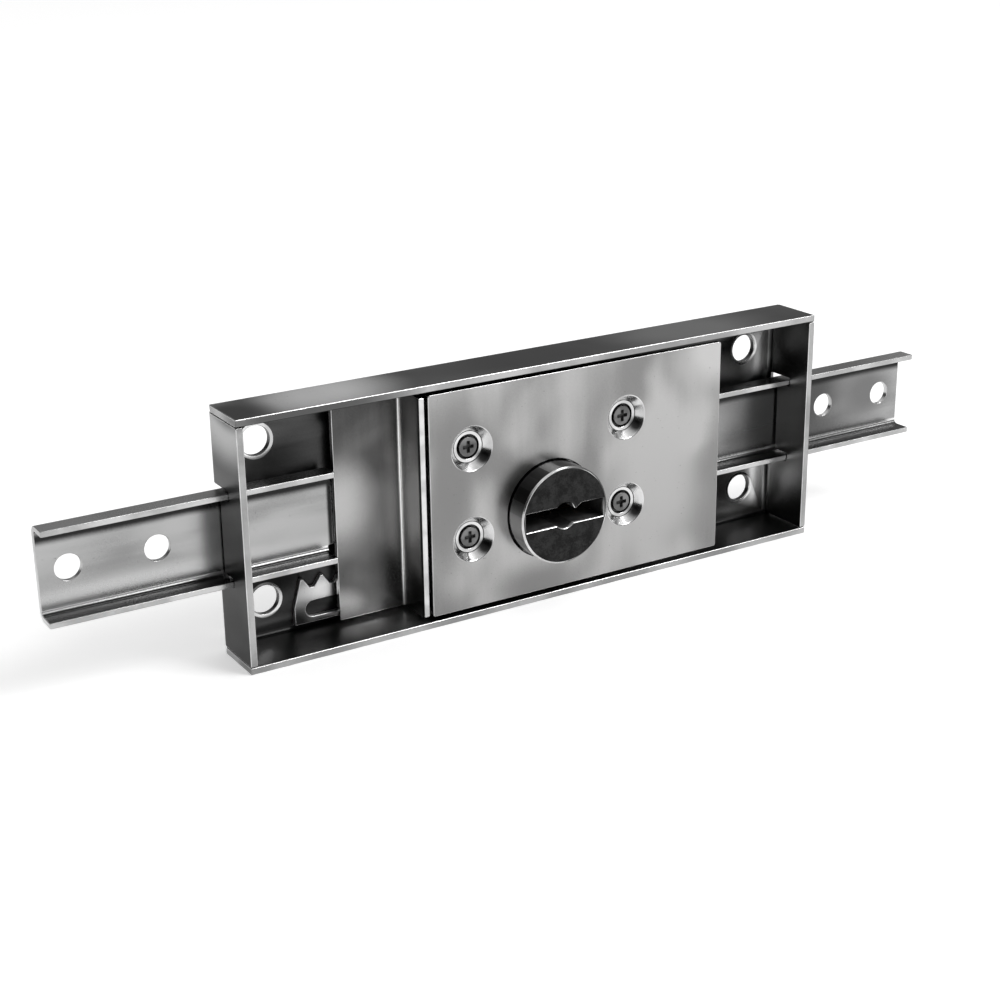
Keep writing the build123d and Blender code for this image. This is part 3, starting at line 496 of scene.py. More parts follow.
# %% [markdown]
# The skins between the lines are flat in the pattern, so a constrained triangulation fills them. A bend
# needs rows of points across it, or its triangles would cut the corner. These rows are laid along the
# bend as crease lines, a hair short of the edges, and the fold then puts every point on its true arc.

# %% Filling and folding a pattern
FAR = 1e6
ROW_SHORT = 0.04
ON_CREASE = 1e-4
FILL_NEAR = 1e-7


def sides(loops):
    """The start and the end of every side of closed loops."""
    return np.concatenate(loops), np.concatenate([np.roll(loop, -1, 0) for loop in loops])


def inside(loops, points):
    """Which points lie in the material: a line to the right of them crosses the loops an odd number of
    times."""
    start, end = sides(loops)
    above = (start[:, 1] > points[:, 1, None]) != (end[:, 1] > points[:, 1, None])
    rise = np.where(end[:, 1] == start[:, 1], 1.0, end[:, 1] - start[:, 1])
    crossing = start[:, 0] + (points[:, 1, None] - start[:, 1]) * (end[:, 0] - start[:, 0]) / rise
    return (above & (points[:, 0, None] < crossing)).sum(1) % 2 == 1


def crease_rows(loops, creases):
    """Stretches of each crease line that lie in the material, as pairs of end points."""
    start, end = sides(loops)
    rows = [np.zeros((0, 2))]
    for axis, value, span in creases:
        low, high = start[:, axis] - value, end[:, axis] - value
        hit = (low > 0) != (high > 0)
        share = low[hit] / (low[hit] - high[hit])
        other = 1 - axis
        cross = np.sort(start[hit, other] + share * (end[hit, other] - start[hit, other]))
        ends = cross.reshape(-1, 2) + np.array([ROW_SHORT, -ROW_SHORT])
        centre = ends.mean(1)
        ends = ends[(ends[:, 1] - ends[:, 0] > ROW_SHORT) & (centre > span[0]) & (centre < span[1])]
        row = np.full(ends.shape + (2,), value)
        row[..., other] = ends
        rows.append(row.reshape(-1, 2))
    return np.concatenate(rows)


def split_at_creases(line, normal, creases):
    """Adds a point wherever a line crosses a crease, so that a folded edge follows its bend."""
    for axis, value, _ in creases:
        low = line[:, axis] - value
        high = np.roll(low, -1)
        hit = np.flatnonzero((low * high < 0) & (np.minimum(abs(low), abs(high)) > ON_CREASE))
        share = (low[hit] / (low[hit] - high[hit]))[:, None]
        after = (hit + 1) % len(line)
        new_line = line[hit] * (1 - share) + line[after] * share
        new_normal = normal[hit] * (1 - share) + normal[after] * share
        line = np.insert(line, hit + 1, new_line, 0)
        normal = np.insert(normal, hit + 1, new_normal, 0)
    return line, normal


def fill(loops, numbers, rows, row_numbers):
    """Triangles between closed loops, with rows of creases kept. Numbers name the points."""
    points = np.concatenate([*loops, rows])
    names = np.concatenate([*numbers, row_numbers])
    edges = []
    first = 0
    for loop in loops:
        here = np.arange(first, first + len(loop))
        edges += np.stack([here, np.roll(here, -1)], 1).tolist()
        first += len(loop)
    edges += (first + np.arange(len(rows)).reshape(-1, 2)).tolist()
    found = delaunay_2d_cdt([Vector(point) for point in points], edges, [], 0, FILL_NEAR)
    triangles = np.array(found[2])
    return names[triangles[inside(loops, points[triangles].mean(1))]]


def folding(front, sheet=0.0, bend=0.0, low=(-FAR, -FAR), high=(FAR, FAR)):
    """A fold of the flat pattern, whose middle field lies at depth front.

    In words: past the field's low or high line the sheet turns forward round a bend with that outside
    radius, and goes straight on after a quarter turn. A point keeps its distance along the outside skin,
    and its depth sets the radius it turns at. Gives the place and the directions of both pattern axes
    and of depth.
    """
    def fold(flat, depth):
        over = np.clip(flat - high, 0, None) + np.clip(flat - low, None, 0)
        second = np.abs(over[:, 1]) >= np.abs(over[:, 0])
        over[second, 0] = 0
        over[~second, 1] = 0
        side = np.sign(over)
        length = np.abs(over).sum(1)
        angle = np.minimum(length / bend, np.pi / 2) if bend else np.zeros(len(flat))
        straight = np.maximum(length - bend * np.pi / 2, 0)
        radius = bend - sheet + depth
        sine, cosine = np.sin(angle), np.cos(angle)
        base = flat - over + side * (radius * sine)[:, None]
        y = front - (bend - sheet) + radius * cosine - straight
        place = np.stack([base[:, 0], y, base[:, 1]], 1)
        flat_cosine = np.where(side != 0, cosine[:, None], 1.0)
        zero = np.zeros(len(flat))
        along_x = np.stack([flat_cosine[:, 0], -side[:, 0] * sine, zero], 1)
        along_z = np.stack([zero, -side[:, 1] * sine, flat_cosine[:, 1]], 1)
        inward = np.stack([side[:, 0] * sine, cosine, side[:, 1] * sine], 1)
        return place, along_x, along_z, inward
    return fold


print("a flat fold puts a point at", folding(10.0)(np.ones((1, 2)), np.ones(1))[0])

# %% Building a shell
# A finish is a place in a piece's list of metals. No profile is as deep as DEEPEST.
SKIN, EDGE, BRIGHT, LINE = range(4)
DEEPEST = 99


def rim(line, shape, finish=EDGE, blind=False):
    """One closed line and the profile carried along it. Finish is a number, or a function that gives one
    for each band of the profile from its depth. A blind rim is closed by a face of its own at its foot."""
    return {"line": line, "shape": shape, "finish": finish, "blind": blind}


def by_depth(*levels):
    """Finishes for the bands of a profile: each level is a depth and the finish of the bands above it."""
    depths, numbers = zip(*levels)
    return lambda depth: np.array(numbers)[np.searchsorted(depths, depth)]


def facing_out(place, normals, faces, first):
    """Turns round each face whose corners' normals point the other way."""
    corner = place[faces - first]
    flat = np.cross(corner[:, 1] - corner[:, 0], corner[:, 2] - corner[:, 0])
    if faces.shape[1] == 4:
        flat = flat + np.cross(corner[:, 2] - corner[:, 0], corner[:, 3] - corner[:, 0])
    wrong = (flat * normals[faces - first].sum(1)).sum(1) < 0
    faces[wrong] = faces[wrong][:, ::-1]
    return faces.tolist()


def shell_arrays(rims, fold, creases, first):
    """The points, normals, faces and finishes of one closed shell, its points numbered from first.

    In words: a row of the table holds a point on the pattern, its depth, its line's normal, and how far
    the shell's normal leans along that and inwards. The fold turns it into a place and a normal.
    """
    table, quads, triangles, finishes, fronts, backs = [], [], [], [], [], []
    skins = [(fronts, -1.0, SKIN), (backs, 1.0, SKIN)]
    count = first
    for each in rims:
        line, normal = split_at_creases(*each["line"], creases)
        path, tilt = each["shape"]
        size = (len(path), len(line))
        ring = line[None] + path[:, 0, None, None] * normal[None]
        columns = [ring, path[:, None, 1:], normal[None], tilt[:, None]]
        columns = [np.broadcast_to(column, size + column.shape[2:]) for column in columns]
        table.append(np.concatenate(columns, 2).reshape(-1, 7))
        numbers = count + np.arange(size[0] * size[1]).reshape(size)
        count += numbers.size
        after = np.roll(numbers, -1, 1)
        quads.append(np.stack([numbers[:-1], after[:-1], after[1:], numbers[1:]], -1).reshape(-1, 4))
        band_depth = (path[:-1, 1] + path[1:, 1]) / 2
        bands = each["finish"](band_depth) if callable(each["finish"]) else [each["finish"]] * (size[0] - 1)
        finishes.append(np.repeat(bands, size[1]))
        fronts.append((ring[0], numbers[0], path[0, 1]))
        foot = (ring[-1], numbers[-1], path[-1, 1])
        if each["blind"]:
            skins.append(([foot], -1.0, bands[-1]))
        else:
            backs.append(foot)
    for loops, facing, finish in skins:
        lines, numbers, depths = zip(*loops)
        rows = crease_rows(lines, creases)
        table.append(np.hstack([rows, np.tile([depths[0], 0, 0, 0, facing], (len(rows), 1))]))
        triangles.append(fill(lines, numbers, rows, count + np.arange(len(rows))))
        count += len(rows)
        finishes.append(np.full(len(triangles[-1]), finish))
    flat, depth, outward, lean = np.split(np.concatenate(table), [2, 3, 5], 1)
    place, along_x, along_z, inward = fold(flat, depth[:, 0])
    in_sheet = outward[:, :1] * along_x + outward[:, 1:] * along_z
    normals = unit(lean[:, :1] * in_sheet + lean[:, 1:] * inward)
    faces = facing_out(place, normals, np.concatenate(quads), first)
    faces += facing_out(place, normals, np.concatenate(triangles), first)
    return place, normals, faces, np.concatenate(finishes)


def flat_shell(front, *rims):
    """A shell that isn't folded, with its front skin at depth front."""
    return rims, folding(front), ()


def make_piece(name, shells, finishes, body, slot, *nodes):
    """Builds a piece from shells, each (rims, fold, creases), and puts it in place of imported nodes."""
    parts = []
    first = 0
    for rims, fold, creases in shells:
        parts.append(shell_arrays(rims, fold, creases, first))
        first += len(parts[-1][0])
    places, normals, faces, numbers = zip(*parts)
    mesh = bpy.data.meshes.new(name)
    mesh.from_pydata(np.concatenate(places) * MM, [], sum(faces, []))
    for finish in finishes:
        mesh.materials.append(finish)
    mesh.polygons.foreach_set("material_index", np.concatenate(numbers).astype(np.int32))
    mesh.shade_smooth()
    mesh.normals_split_custom_set_from_vertices(np.concatenate(normals).tolist())
    mesh.update()
    piece = put_in_scene(name, mesh)
    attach(piece, body)
    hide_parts(*nodes)
    print(name, "points", first, "faces", len(mesh.polygons))


print("finishes of sheet", SKIN, EDGE, BRIGHT, LINE)

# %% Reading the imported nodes
CORNER_NAMES = ("top_left", "top_right", "bottom_left", "bottom_right")
BEND_STEPS = 6


def corners(node):
    """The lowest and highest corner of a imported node, in millimetres."""
    return [np.array(corner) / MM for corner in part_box(node)]


def middle(node):
    """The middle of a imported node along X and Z, in millimetres."""
    low, high = corners(node)
    return (low[[0, 2]] + high[[0, 2]]) / 2


def holes_at(nodes, radius, shape):
    """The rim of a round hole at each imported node."""
    return [rim(circle(*middle(node), radius, 32), shape) for node in nodes]


def bend_creases(axis, start, bend, side, span=(-FAR, FAR)):
    """Crease lines across one bend, from its start on the flat field to its end. Span bounds the middle
    of each stretch, so that a line doesn't go on into the next flap."""
    steps = range(BEND_STEPS + 1)
    return [(axis, start + side * bend * math.pi / 2 * step / BEND_STEPS, span) for step in steps]


print("case corners", corners("case"))

# %% [markdown]
# ## The tray
# One sheet, folded on four sides into a box 15 mm deep. The walls meet in mitres round the back corners,
# and further forward the top and bottom walls cover the ends of the side walls, which leaves a fine seam
# at each corner. A C-shaped slot in each end wall lets a bar through. Solidifying a box would lose all of
# that, so the flat pattern is written down and folded.

# %% Make the tray
CASE_SHEET = 1.5
CASE_BEND = 2.6
CASE_SEAM = 0.15
MITRE_PLAY = 0.03
SLOT_MOUTH = {-1: 0.3, 1: 3.0}
SLOT_FRONT_GAP = 0.15
SLOT_LOW_GAP = 0.2
SLOT_HIGH_GAP = 0.4
FIXING_ACROSS = 63.0
FIXING_UP = 17.5
FIXING_RADIUS = 3.2
PIN_HOLE = 0.85
PILLAR_HOLE = 1.7
BUSH_HOLE = 5.46
SINK_HOLE = 1.05
case_low, case_high = corners("case")
field_low = case_low[[0, 2]] + CASE_BEND
field_high = case_high[[0, 2]] - CASE_BEND
case_strip = CASE_BEND * math.pi / 2 + (case_high[1] - CASE_BEND)
bar_low, bar_high = corners("left_bolt_bar")


def tray_outline():
    """The pattern's outline. At each corner two curves run out: the lid flap's follows the mitre, the
    sine of the bend's angle, and the end wall's follows it too but stops short of the lid flap. A small
    notch between them relieves the corner."""
    angle = np.linspace(0, np.pi / 2, 7)[1:]
    reach, arc = CASE_BEND * np.sin(angle), CASE_BEND * angle
    stop = CASE_BEND - CASE_SHEET - CASE_SEAM
    wall = np.stack([arc, np.minimum(reach, stop) - MITRE_PLAY], 1)[::-1]
    lid = np.stack([reach - MITRE_PLAY, arc], 1)
    lid[-1, 0] = CASE_BEND
    notch = np.array([(0.05, -0.1), (-0.1, -0.1), (-0.1, 0.05)])
    wall_end, lid_end = (case_strip, stop - MITRE_PLAY), (CASE_BEND, case_strip)
    quarter = np.concatenate([[wall_end], wall, notch, lid, [lid_end]])
    radius = np.full(len(quarter), 0.16)
    radius[[0, -1]] = 0.25
    radius[len(wall) + 1:len(wall) + 4] = 0.02
    points, radii = [], []
    for side in ((1, 1), (-1, 1), (-1, -1), (1, -1)):
        step = side[0] * side[1]
        points.append(np.where(np.array(side) > 0, field_high, field_low) + quarter[::step] * side)
        radii.append(radius[::step])
    return outline(np.concatenate(points), np.concatenate(radii))


def slot_points(side):
    """An end wall's slot, C-shaped: it leaves a tongue of the wall inside the channel. The left one
    starts on the floor, because the upper rack's end runs into it, the right one in the bend."""
    edge = (field_high if side > 0 else field_low)[0]
    low, high = corners("right_wall_tongue")
    far = edge + side * (case_strip - bar_low[1] + SLOT_FRONT_GAP)
    levels = [bar_low[2] - SLOT_LOW_GAP, low[2], high[2], bar_high[2] + SLOT_HIGH_GAP]
    return stepped(edge + SLOT_MOUTH[side], far, edge + side * (case_strip - high[1]), levels)


# The eased arrises of the outline get the almost white finish: painted highlight lines.
case_rims = [rim(tray_outline(), cut_profile(CASE_SHEET, 0.15),
                 by_depth((0.17, BRIGHT), (1.33, EDGE), (DEEPEST, BRIGHT)))]
for side in (-1, 1):
    case_rims.append(rim(outline(slot_points(side), 0.45, hole=True), cut_profile(CASE_SHEET), SKIN))
FIXING_PATH = [(-0.72, 0), (-0.64, 0.03), (-0.08, 0.12), (0, 0.20), (0, CASE_SHEET), (-0.12, CASE_SHEET)]
FIXING_SHAPE = profile(FIXING_PATH, [0, 0.08, 0.08, 0.08, 0.12, 0])
# The ring round each fixing hole takes the painted highlight finish, and its bore the painted shade finish.
FIXING_BANDS = by_depth((0.005, LINE), (0.25, BRIGHT), (DEEPEST, LINE))
centre_x, centre_z = middle("case")
for x in (centre_x - FIXING_ACROSS, centre_x + FIXING_ACROSS):
    for z in (centre_z - FIXING_UP, centre_z + FIXING_UP):
        case_rims.append(rim(circle(x, z, FIXING_RADIUS), FIXING_SHAPE, FIXING_BANDS))
hole_shape = cut_profile(CASE_SHEET, 0.1)
case_rims += holes_at(("bracket_post_low", "bracket_post_high", "rack_guide_pin"), PIN_HOLE, hole_shape)
case_rims += holes_at(["cover_pillar_" + name for name in CORNER_NAMES], PILLAR_HOLE, hole_shape)
case_rims += holes_at(["rear_bush"], BUSH_HOLE, hole_shape)
SINK_SHAPE = profile([(-0.1, 0), (0, 0), (0, 0.4), (-1.1, CASE_SHEET), (-1.2, CASE_SHEET)], 0.05)
case_rims += holes_at(("housing_screw_left", "housing_screw_right"), SINK_HOLE, SINK_SHAPE)
case_creases = []
for axis in (0, 1):
    span = (field_low[1 - axis], field_high[1 - axis])
    case_creases += bend_creases(axis, field_high[axis], CASE_BEND, 1, span)
    case_creases += bend_creases(axis, field_low[axis], CASE_BEND, -1, span)
case_fold = folding(case_high[1] - CASE_SHEET, CASE_SHEET, CASE_BEND, field_low, field_high)
make_piece("tray", [(case_rims, case_fold, case_creases)], [TRAY_STEEL, TRAY_EDGE, HIGHLIGHT_RIM, SHADE_LINE_METAL],
           "lock_case", "tray_steel", "case", "left_wall_tongue", "right_wall_tongue")

# %% [markdown]
# ## The cover
# A flat plate with four dimples pressed and turned into it, so that the screw heads lie below its face,
# and a round hole for the key head. Each dimple is a surface of revolution, and the same profile idea
# makes it: the path runs down the cone, across the floor, into the counterbore, through the sheet and
# back along the underside.

# %% Make the cover
COVER_SHEET = 1.5
COVER_EASE = 0.2
HEAD_HOLE = 11.2
DIMPLE_RADIUS = 5.0
DIMPLE_SHAPE = profile([(-0.8, 0), (0, 0), (1.5, 1.8), (2.3, 1.8), (2.3, 2.6), (3.35, 2.6), (3.35, 3.0),
                        (0.5, 3.0), (-0.75, COVER_SHEET), (-1.3, COVER_SHEET)],
                       [0, 0.45, 0.3, 0.15, 0.05, 0.05, 0.05, 0.3, 0.3, 0], 4)
# In each dimple the cone and the floor are bright, with a painted shadow ring where they meet and painted
# shade in the counterbore and below.
DIMPLE_BANDS = by_depth((0.01, SKIN), (1.66, BRIGHT), (1.795, LINE), (1.85, BRIGHT), (DEEPEST, LINE))
cover_low, cover_high = corners("cover_plate")
cover_points = rectangle(cover_low[0], cover_high[0], cover_low[2], cover_high[2])
cover_rims = [rim(outline(cover_points, 0.5), cut_profile(COVER_SHEET, COVER_EASE)),
              rim(circle(0, 0, HEAD_HOLE, 96), cut_profile(COVER_SHEET, COVER_EASE))]
dimple_shade = []
for corner_name in CORNER_NAMES:
    x, z = middle("cover_screw_" + corner_name)
    cover_rims.append(rim(circle(x, z, DIMPLE_RADIUS, 64), DIMPLE_SHAPE, DIMPLE_BANDS))
    # A painted shade on the lower right of each dimple's cone.
    dimple_shade.append(((x + 3.2, 1.2, z - 2.6), (2.4, 3, 2.4), 0.05))
DIMPLE_CHROME = bright_metal("dimple_chrome", 0.85, dimple_shade)
make_piece("cover", [flat_shell(cover_low[1], *cover_rims)],
           [COVER_NICKEL, CUT_EDGE, DIMPLE_CHROME, SHADE_LINE_METAL], "lock_case", "nickel_plate", "cover_plate")

# %% [markdown]
# ## The bracket beside the cover
# A strip of sheet bent once: its foot lies over the left bar's tail and its wall rises to the cover. Its
# bend is tight, so the fold has a small inside radius.

# %% Make the bracket
BRACKET_SHEET = 1.2
BRACKET_BEND = 1.5
bracket_low, bracket_high = corners("side_bracket")
bracket_line = bracket_high[0] - BRACKET_BEND
bracket_strip = BRACKET_BEND * math.pi / 2 + bracket_high[1] - BRACKET_BEND - bracket_low[1]
bracket_points = rectangle(bracket_low[0], bracket_line + bracket_strip, bracket_low[2], bracket_high[2])
# The bracket's cut edges take the almost white rim finish: painted highlight lines.
bracket_rims = [rim(outline(bracket_points, 0.4), cut_profile(BRACKET_SHEET))]
bracket_fold = folding(bracket_high[1] - BRACKET_SHEET, BRACKET_SHEET, BRACKET_BEND,
                       high=(bracket_line, FAR))
make_piece("bracket", [(bracket_rims, bracket_fold, bend_creases(0, bracket_line, BRACKET_BEND, 1))],
           [BRACKET_NICKEL, HIGHLIGHT_RIM], "lock_case", "nickel_plate", "side_bracket")

# %% [markdown]
# ## The two bars
# Each bar is a channel: a web with a flange along each side, and further in only the web goes on as a
# tail, where its rack is riveted on. The two outer holes take the side rod.

# %% Make the bars
BAR_SHEET = 1.2
BAR_BEND = 2.2
TAIL_STEP = 0.3
LEFT_FLANGE_END = -49.1
RIGHT_FLANGE_END = 40.0
ROD_HOLE = 2.75
ROD_HOLE_PLACES = (6.1, 24.4)
RIVET_HOLE = 1.5


def make_bar(name, node, side, flange_end, rack, body):
    """A bar from its pattern: the flanges run from the tip to flange_end and the tail goes on inwards."""
    low, high = corners(node)
    tip, tail = (low[0], high[0]) if side < 0 else (high[0], low[0])
    field = (low[2] + BAR_BEND, high[2] - BAR_BEND)
    strip = BAR_BEND * math.pi / 2 + high[1] - BAR_BEND - low[1]
    levels = [field[0] - strip, field[0] + TAIL_STEP, field[1] - TAIL_STEP, field[1] + strip]
    rims = [rim(outline(stepped(tip, flange_end, tail, levels), 0.35), cut_profile(BAR_SHEET))]
    centre = (low[2] + high[2]) / 2
    for place in ROD_HOLE_PLACES:
        rims.append(rim(circle(tip - side * place, centre, ROD_HOLE), cut_profile(BAR_SHEET)))
    rims += holes_at((rack + "_rivet_1", rack + "_rivet_2"), RIVET_HOLE, cut_profile(BAR_SHEET, 0.1))
    creases = bend_creases(1, field[0], BAR_BEND, -1) + bend_creases(1, field[1], BAR_BEND, 1)
    fold = folding(high[1] - BAR_SHEET, BAR_SHEET, BAR_BEND, (-FAR, field[0]), (FAR, field[1]))
    make_piece(name, [(rims, fold, creases)], [BAR_STEEL, CUT_EDGE], body, "bar_steel", node)


make_bar("left_bar", "left_bolt_bar", -1, LEFT_FLANGE_END, "upper_rack", "left_bolt")
make_bar("right_bar", "right_bolt_bar", 1, RIGHT_FLANGE_END, "lower_rack", "right_bolt")

# %% [markdown]
# ## The rack that shows at the lower left
# A flat strip with straight-sided teeth and a long guide slot. A rack's teeth repeat at pi times the
# module, so the whole row is one array: the four corners of a valley, shifted by whole pitches.

# %% Make the lower rack
RACK_SHEET = 1.3
TOOTH_PITCH = math.pi * 1.5
VALLEY_TOP = 2.060
VALLEY_FOOT = 0.490
VALLEYS = np.arange(-11, 3)
MESH_SHIFT = -0.9
TOOTH_TIP = -8.3
TOOTH_FOOT = -10.5
END_SLANT = 6.2
RISER_LEFT = 23.0
RISER_RIGHT = 28.5
GUIDE_SLOT = (-54.5, -21.63, -17.2, -13.6)
GUIDE_ROUND = 1.79
rack_low, rack_high = corners("lower_rack")


def rack_outline():
    """The rack's outline. Valleys repeat by the pitch; left of them the end slants, right of them the
    riser goes up to the tab that is riveted to the bar."""
    valley = MESH_SHIFT + VALLEYS[:, None] * TOOTH_PITCH
    across = np.array([-VALLEY_TOP, -VALLEY_FOOT, VALLEY_FOOT, VALLEY_TOP])
    height = np.array([TOOTH_TIP, TOOTH_FOOT, TOOTH_FOOT, TOOTH_TIP])
    teeth = np.stack([valley + across, np.broadcast_to(height, (len(valley), 4))], 2).reshape(-1, 2)
    tip = teeth[0, 0] - (TOOTH_PITCH - 2 * VALLEY_TOP)
    left = [(rack_low[0], rack_low[2]), (rack_low[0], TOOTH_TIP - END_SLANT), (tip, TOOTH_TIP)]
    right = [(RISER_LEFT, TOOTH_TIP), (RISER_LEFT, rack_high[2]), (rack_high[0], rack_high[2]),
             (rack_high[0], bar_low[2]), (RISER_RIGHT, bar_low[2]), (RISER_RIGHT, rack_low[2])]
    return outline(np.concatenate([left, teeth, right]), 0.22)


# The rack's cut edges are almost white: a painted highlight along them.
RACK_EDGE = sheet_metal("rack_edge", 0.70, 0.92, (4, 4, 4), 0.42, specks=0.1)
rack_shape = cut_profile(RACK_SHEET, 0.2)
guide_slot = outline(rectangle(*GUIDE_SLOT), GUIDE_ROUND, hole=True)
rack_rims = [rim(rack_outline(), rack_shape), rim(guide_slot, rack_shape)]
rack_rims += holes_at(("lower_rack_rivet_1", "lower_rack_rivet_2"), RIVET_HOLE, rack_shape)
make_piece("lower_rack_plate", [flat_shell(rack_low[1], *rack_rims)], [RACK_STEEL, RACK_EDGE],
           "right_bolt", "rack_steel", "lower_rack")

# %% [markdown]
# ## The key head
# A round casting with a turned side and a bright chamfer. The keyway is a wide slot for a double-bit
# key, with a round hole for the key's stem and one ward that points down into the slot.
# Behind the face the barrel is a row of rings, one before and one behind each tumbler, so that the tumblers
# have room to slide out of it.

# %% Make the key head
SIDE, WALL, RING = 1, 2, 3
HEAD_RADIUS = 11.0
HEAD_FRONT = -5.0
HEAD_LENGTH = 5.2
NECK_STEP = 0.4
NECK_END = 7.1
STEM_RADIUS = 3.0
SLOT_HALF_LENGTH = 10.1
SLOT_HALF_HEIGHT = 2.15
STEM_TOP = 1.75
WARD_FOOT = 4.3
WARD_TIP = (2.5, 1.05)
BARREL_RADIUS = 12.5
KEYWAY_FLOOR = 10.2
SQUARE_FRONT = 11.4
SQUARE_HALF = 4
JOURNAL_FRONT = 13.3
JOURNAL_RADIUS = 4.0
TUMBLER_PLAY = 0.05
tumbler_boxes = [corners("tumbler_" + number) for number in "12345"]
ring_fronts = [high[1] + TUMBLER_PLAY for _, high in tumbler_boxes]
ring_backs = [low[1] - TUMBLER_PLAY for low, _ in tumbler_boxes] + [SQUARE_FRONT]
head_depth = ring_backs[0] - HEAD_FRONT
barrel_step = BARREL_RADIUS - HEAD_RADIUS
HEAD_SHAPE = profile([(-0.42, 0), (-0.30, 0), (0, 0.30), (0, HEAD_LENGTH), (-NECK_STEP, HEAD_LENGTH),
                      (-NECK_STEP, NECK_END), (barrel_step, NECK_END), (barrel_step, head_depth),
                      (1.0, head_depth)], [0, 0.07, 0.1, 0.05, 0.05, 0.05, 0.2, 0.2, 0])
MOUTH_SHAPE = profile([(-0.12, 0), (-0.09, 0), (0, 0.09), (0, head_depth), (-0.1, head_depth)],
                      [0, 0.02, 0.04, 0.03, 0])
HEAD_BANDS = by_depth((0.33, RING), (DEEPEST, SIDE))
MOUTH_BANDS = by_depth((0.10, RING), (DEEPEST, WALL))


def keyway_line():
    """The slot's outline: straight sides, with the stem's arc below and above, and the ward's tooth."""
    start = math.asin(SLOT_HALF_HEIGHT / STEM_RADIUS)
    lower = np.linspace(-math.pi + start, -start, 13)
    upper = np.linspace(math.acos(STEM_TOP / STEM_RADIUS), math.pi - start, 11)
    bottom, top = STEM_RADIUS * around(lower), STEM_RADIUS * around(upper)
    ends = [(SLOT_HALF_LENGTH, -SLOT_HALF_HEIGHT), (SLOT_HALF_LENGTH, SLOT_HALF_HEIGHT),
            (WARD_FOOT, SLOT_HALF_HEIGHT), WARD_TIP]
    left = [(-SLOT_HALF_LENGTH, SLOT_HALF_HEIGHT), (-SLOT_HALF_LENGTH, -SLOT_HALF_HEIGHT)]
    return outline(np.concatenate([bottom, ends, top, left]), 0.25, hole=True)


def disc(radius, count, shape):
    """The round side of a turned solid on the key's axis."""
    return rim(circle(0, 0, radius, count, hole=False), shape, SIDE)


def barrel_ring(front, back):
    """One ring of the barrel, from front to back. The ring that reaches the square is closed by a floor."""
    last = back == SQUARE_FRONT
    foot = KEYWAY_FLOOR - front
    cut = cut_profile(back - front, 0.05)
    wall = profile([(-0.05, 0), (0, 0), (0, foot), (0.1, foot)], 0.04) if last else cut
    return flat_shell(front, disc(BARREL_RADIUS, 128, cut), rim(keyway_line(), wall, WALL, blind=last))


def barrel_segment(low, high):
    """The segment of a disc that joins the rings before and behind a tumbler, away from its lug."""
    half_height = min(-low[2], high[2]) + TUMBLER_PLAY
    away = -1 if high[2] > -low[2] else 1
    radius = BARREL_RADIUS - TUMBLER_PLAY
    start = math.asin(half_height / radius)
    angle = np.linspace(start, math.pi - start, 25)
    line = outline(radius * around(angle) * (1, away), 0.05)
    front = low[1] - 2 * TUMBLER_PLAY
    return flat_shell(front, rim(line, cut_profile(high[1] + 2 * TUMBLER_PLAY - front, 0.03), SIDE))


head_rim = rim(circle(0, 0, HEAD_RADIUS, 128, hole=False), HEAD_SHAPE, HEAD_BANDS)
head_shells = [flat_shell(HEAD_FRONT, head_rim, rim(keyway_line(), MOUTH_SHAPE, MOUTH_BANDS))]
head_shells += [barrel_ring(front, back) for front, back in zip(ring_fronts, ring_backs[1:])]
head_shells += [barrel_segment(low, high) for low, high in tumbler_boxes]
square_line = outline(rectangle(-SQUARE_HALF, SQUARE_HALF, -SQUARE_HALF, SQUARE_HALF), 0.3)
square_shape = cut_profile(JOURNAL_FRONT - SQUARE_FRONT, 0.1)
head_shells.append(flat_shell(SQUARE_FRONT, rim(square_line, square_shape, SIDE)))
journal_shape = cut_profile(corners("key_plug")[1][1] - JOURNAL_FRONT, 0.15)
head_shells.append(flat_shell(JOURNAL_FRONT, disc(JOURNAL_RADIUS, 48, journal_shape)))
make_piece("key_head", head_shells, [HEAD_FACE, HEAD_SIDE, KEYWAY_WALL, POLISHED_EDGE],
           "key_cylinder", "plug_metal", "key_plug")
print("rings behind the head", len(ring_fronts))

# %% [markdown]
# ## The cover screws
# Four small screws with a cross recess. Each is one turned profile, and the cross is a blind hole whose
# walls lean in a little, as a driver's tip does.

# %% Make the screws
SCREW_HEAD = 2.25
CROSS_LONG = 1.3
CROSS_WIDE = 0.375
SCREW_SHAPE = profile([(-0.5, 0), (-0.1, 0.04), (0, 0.3), (0, 1.0), (-1.1, 1.0), (-1.1, 7.0), (-1.3, 7.0)],
                      [0, 0.1, 0.1, 0.08, 0.05, 0.1, 0])
CROSS_SHAPE = profile([(-0.05, 0), (0, 0), (0.08, 0.7), (0.12, 0.7)], [0, 0.04, 0.03, 0])


def cross_line(x, z):
    """A plus sign round a point, as the rim of the driver's recess: one arm, turned by quarters."""
    arm = np.array([(CROSS_WIDE, CROSS_WIDE), (CROSS_LONG, CROSS_WIDE), (CROSS_LONG, -CROSS_WIDE)])
    turned = np.stack([arm[:, 1], -arm[:, 0]], 1)
    return outline(np.concatenate([arm, turned, -arm, -turned]) + (x, z), 0.14, hole=True)


for corner_name in CORNER_NAMES:
    node = "cover_screw_" + corner_name
    x, z = middle(node)
    # The cross recess takes the keyway's near-black finish: painted shade in the recess.
    screw_rims = [rim(circle(x, z, SCREW_HEAD, 48, hole=False), SCREW_SHAPE, SKIN),
                  rim(cross_line(x, z), CROSS_SHAPE, blind=True)]
    make_piece("screw_" + corner_name, [flat_shell(corners(node)[0][1], *screw_rims)],
               [SCREW_METAL, KEYWAY_WALL], "lock_case", "fastener_steel", node)

# %% [markdown]
# ## Pieces that keep their packed form
# The housing, the pinion, the tumblers, their springs and the pillars are plain turned, cast or stamped
# forms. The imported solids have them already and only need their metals.

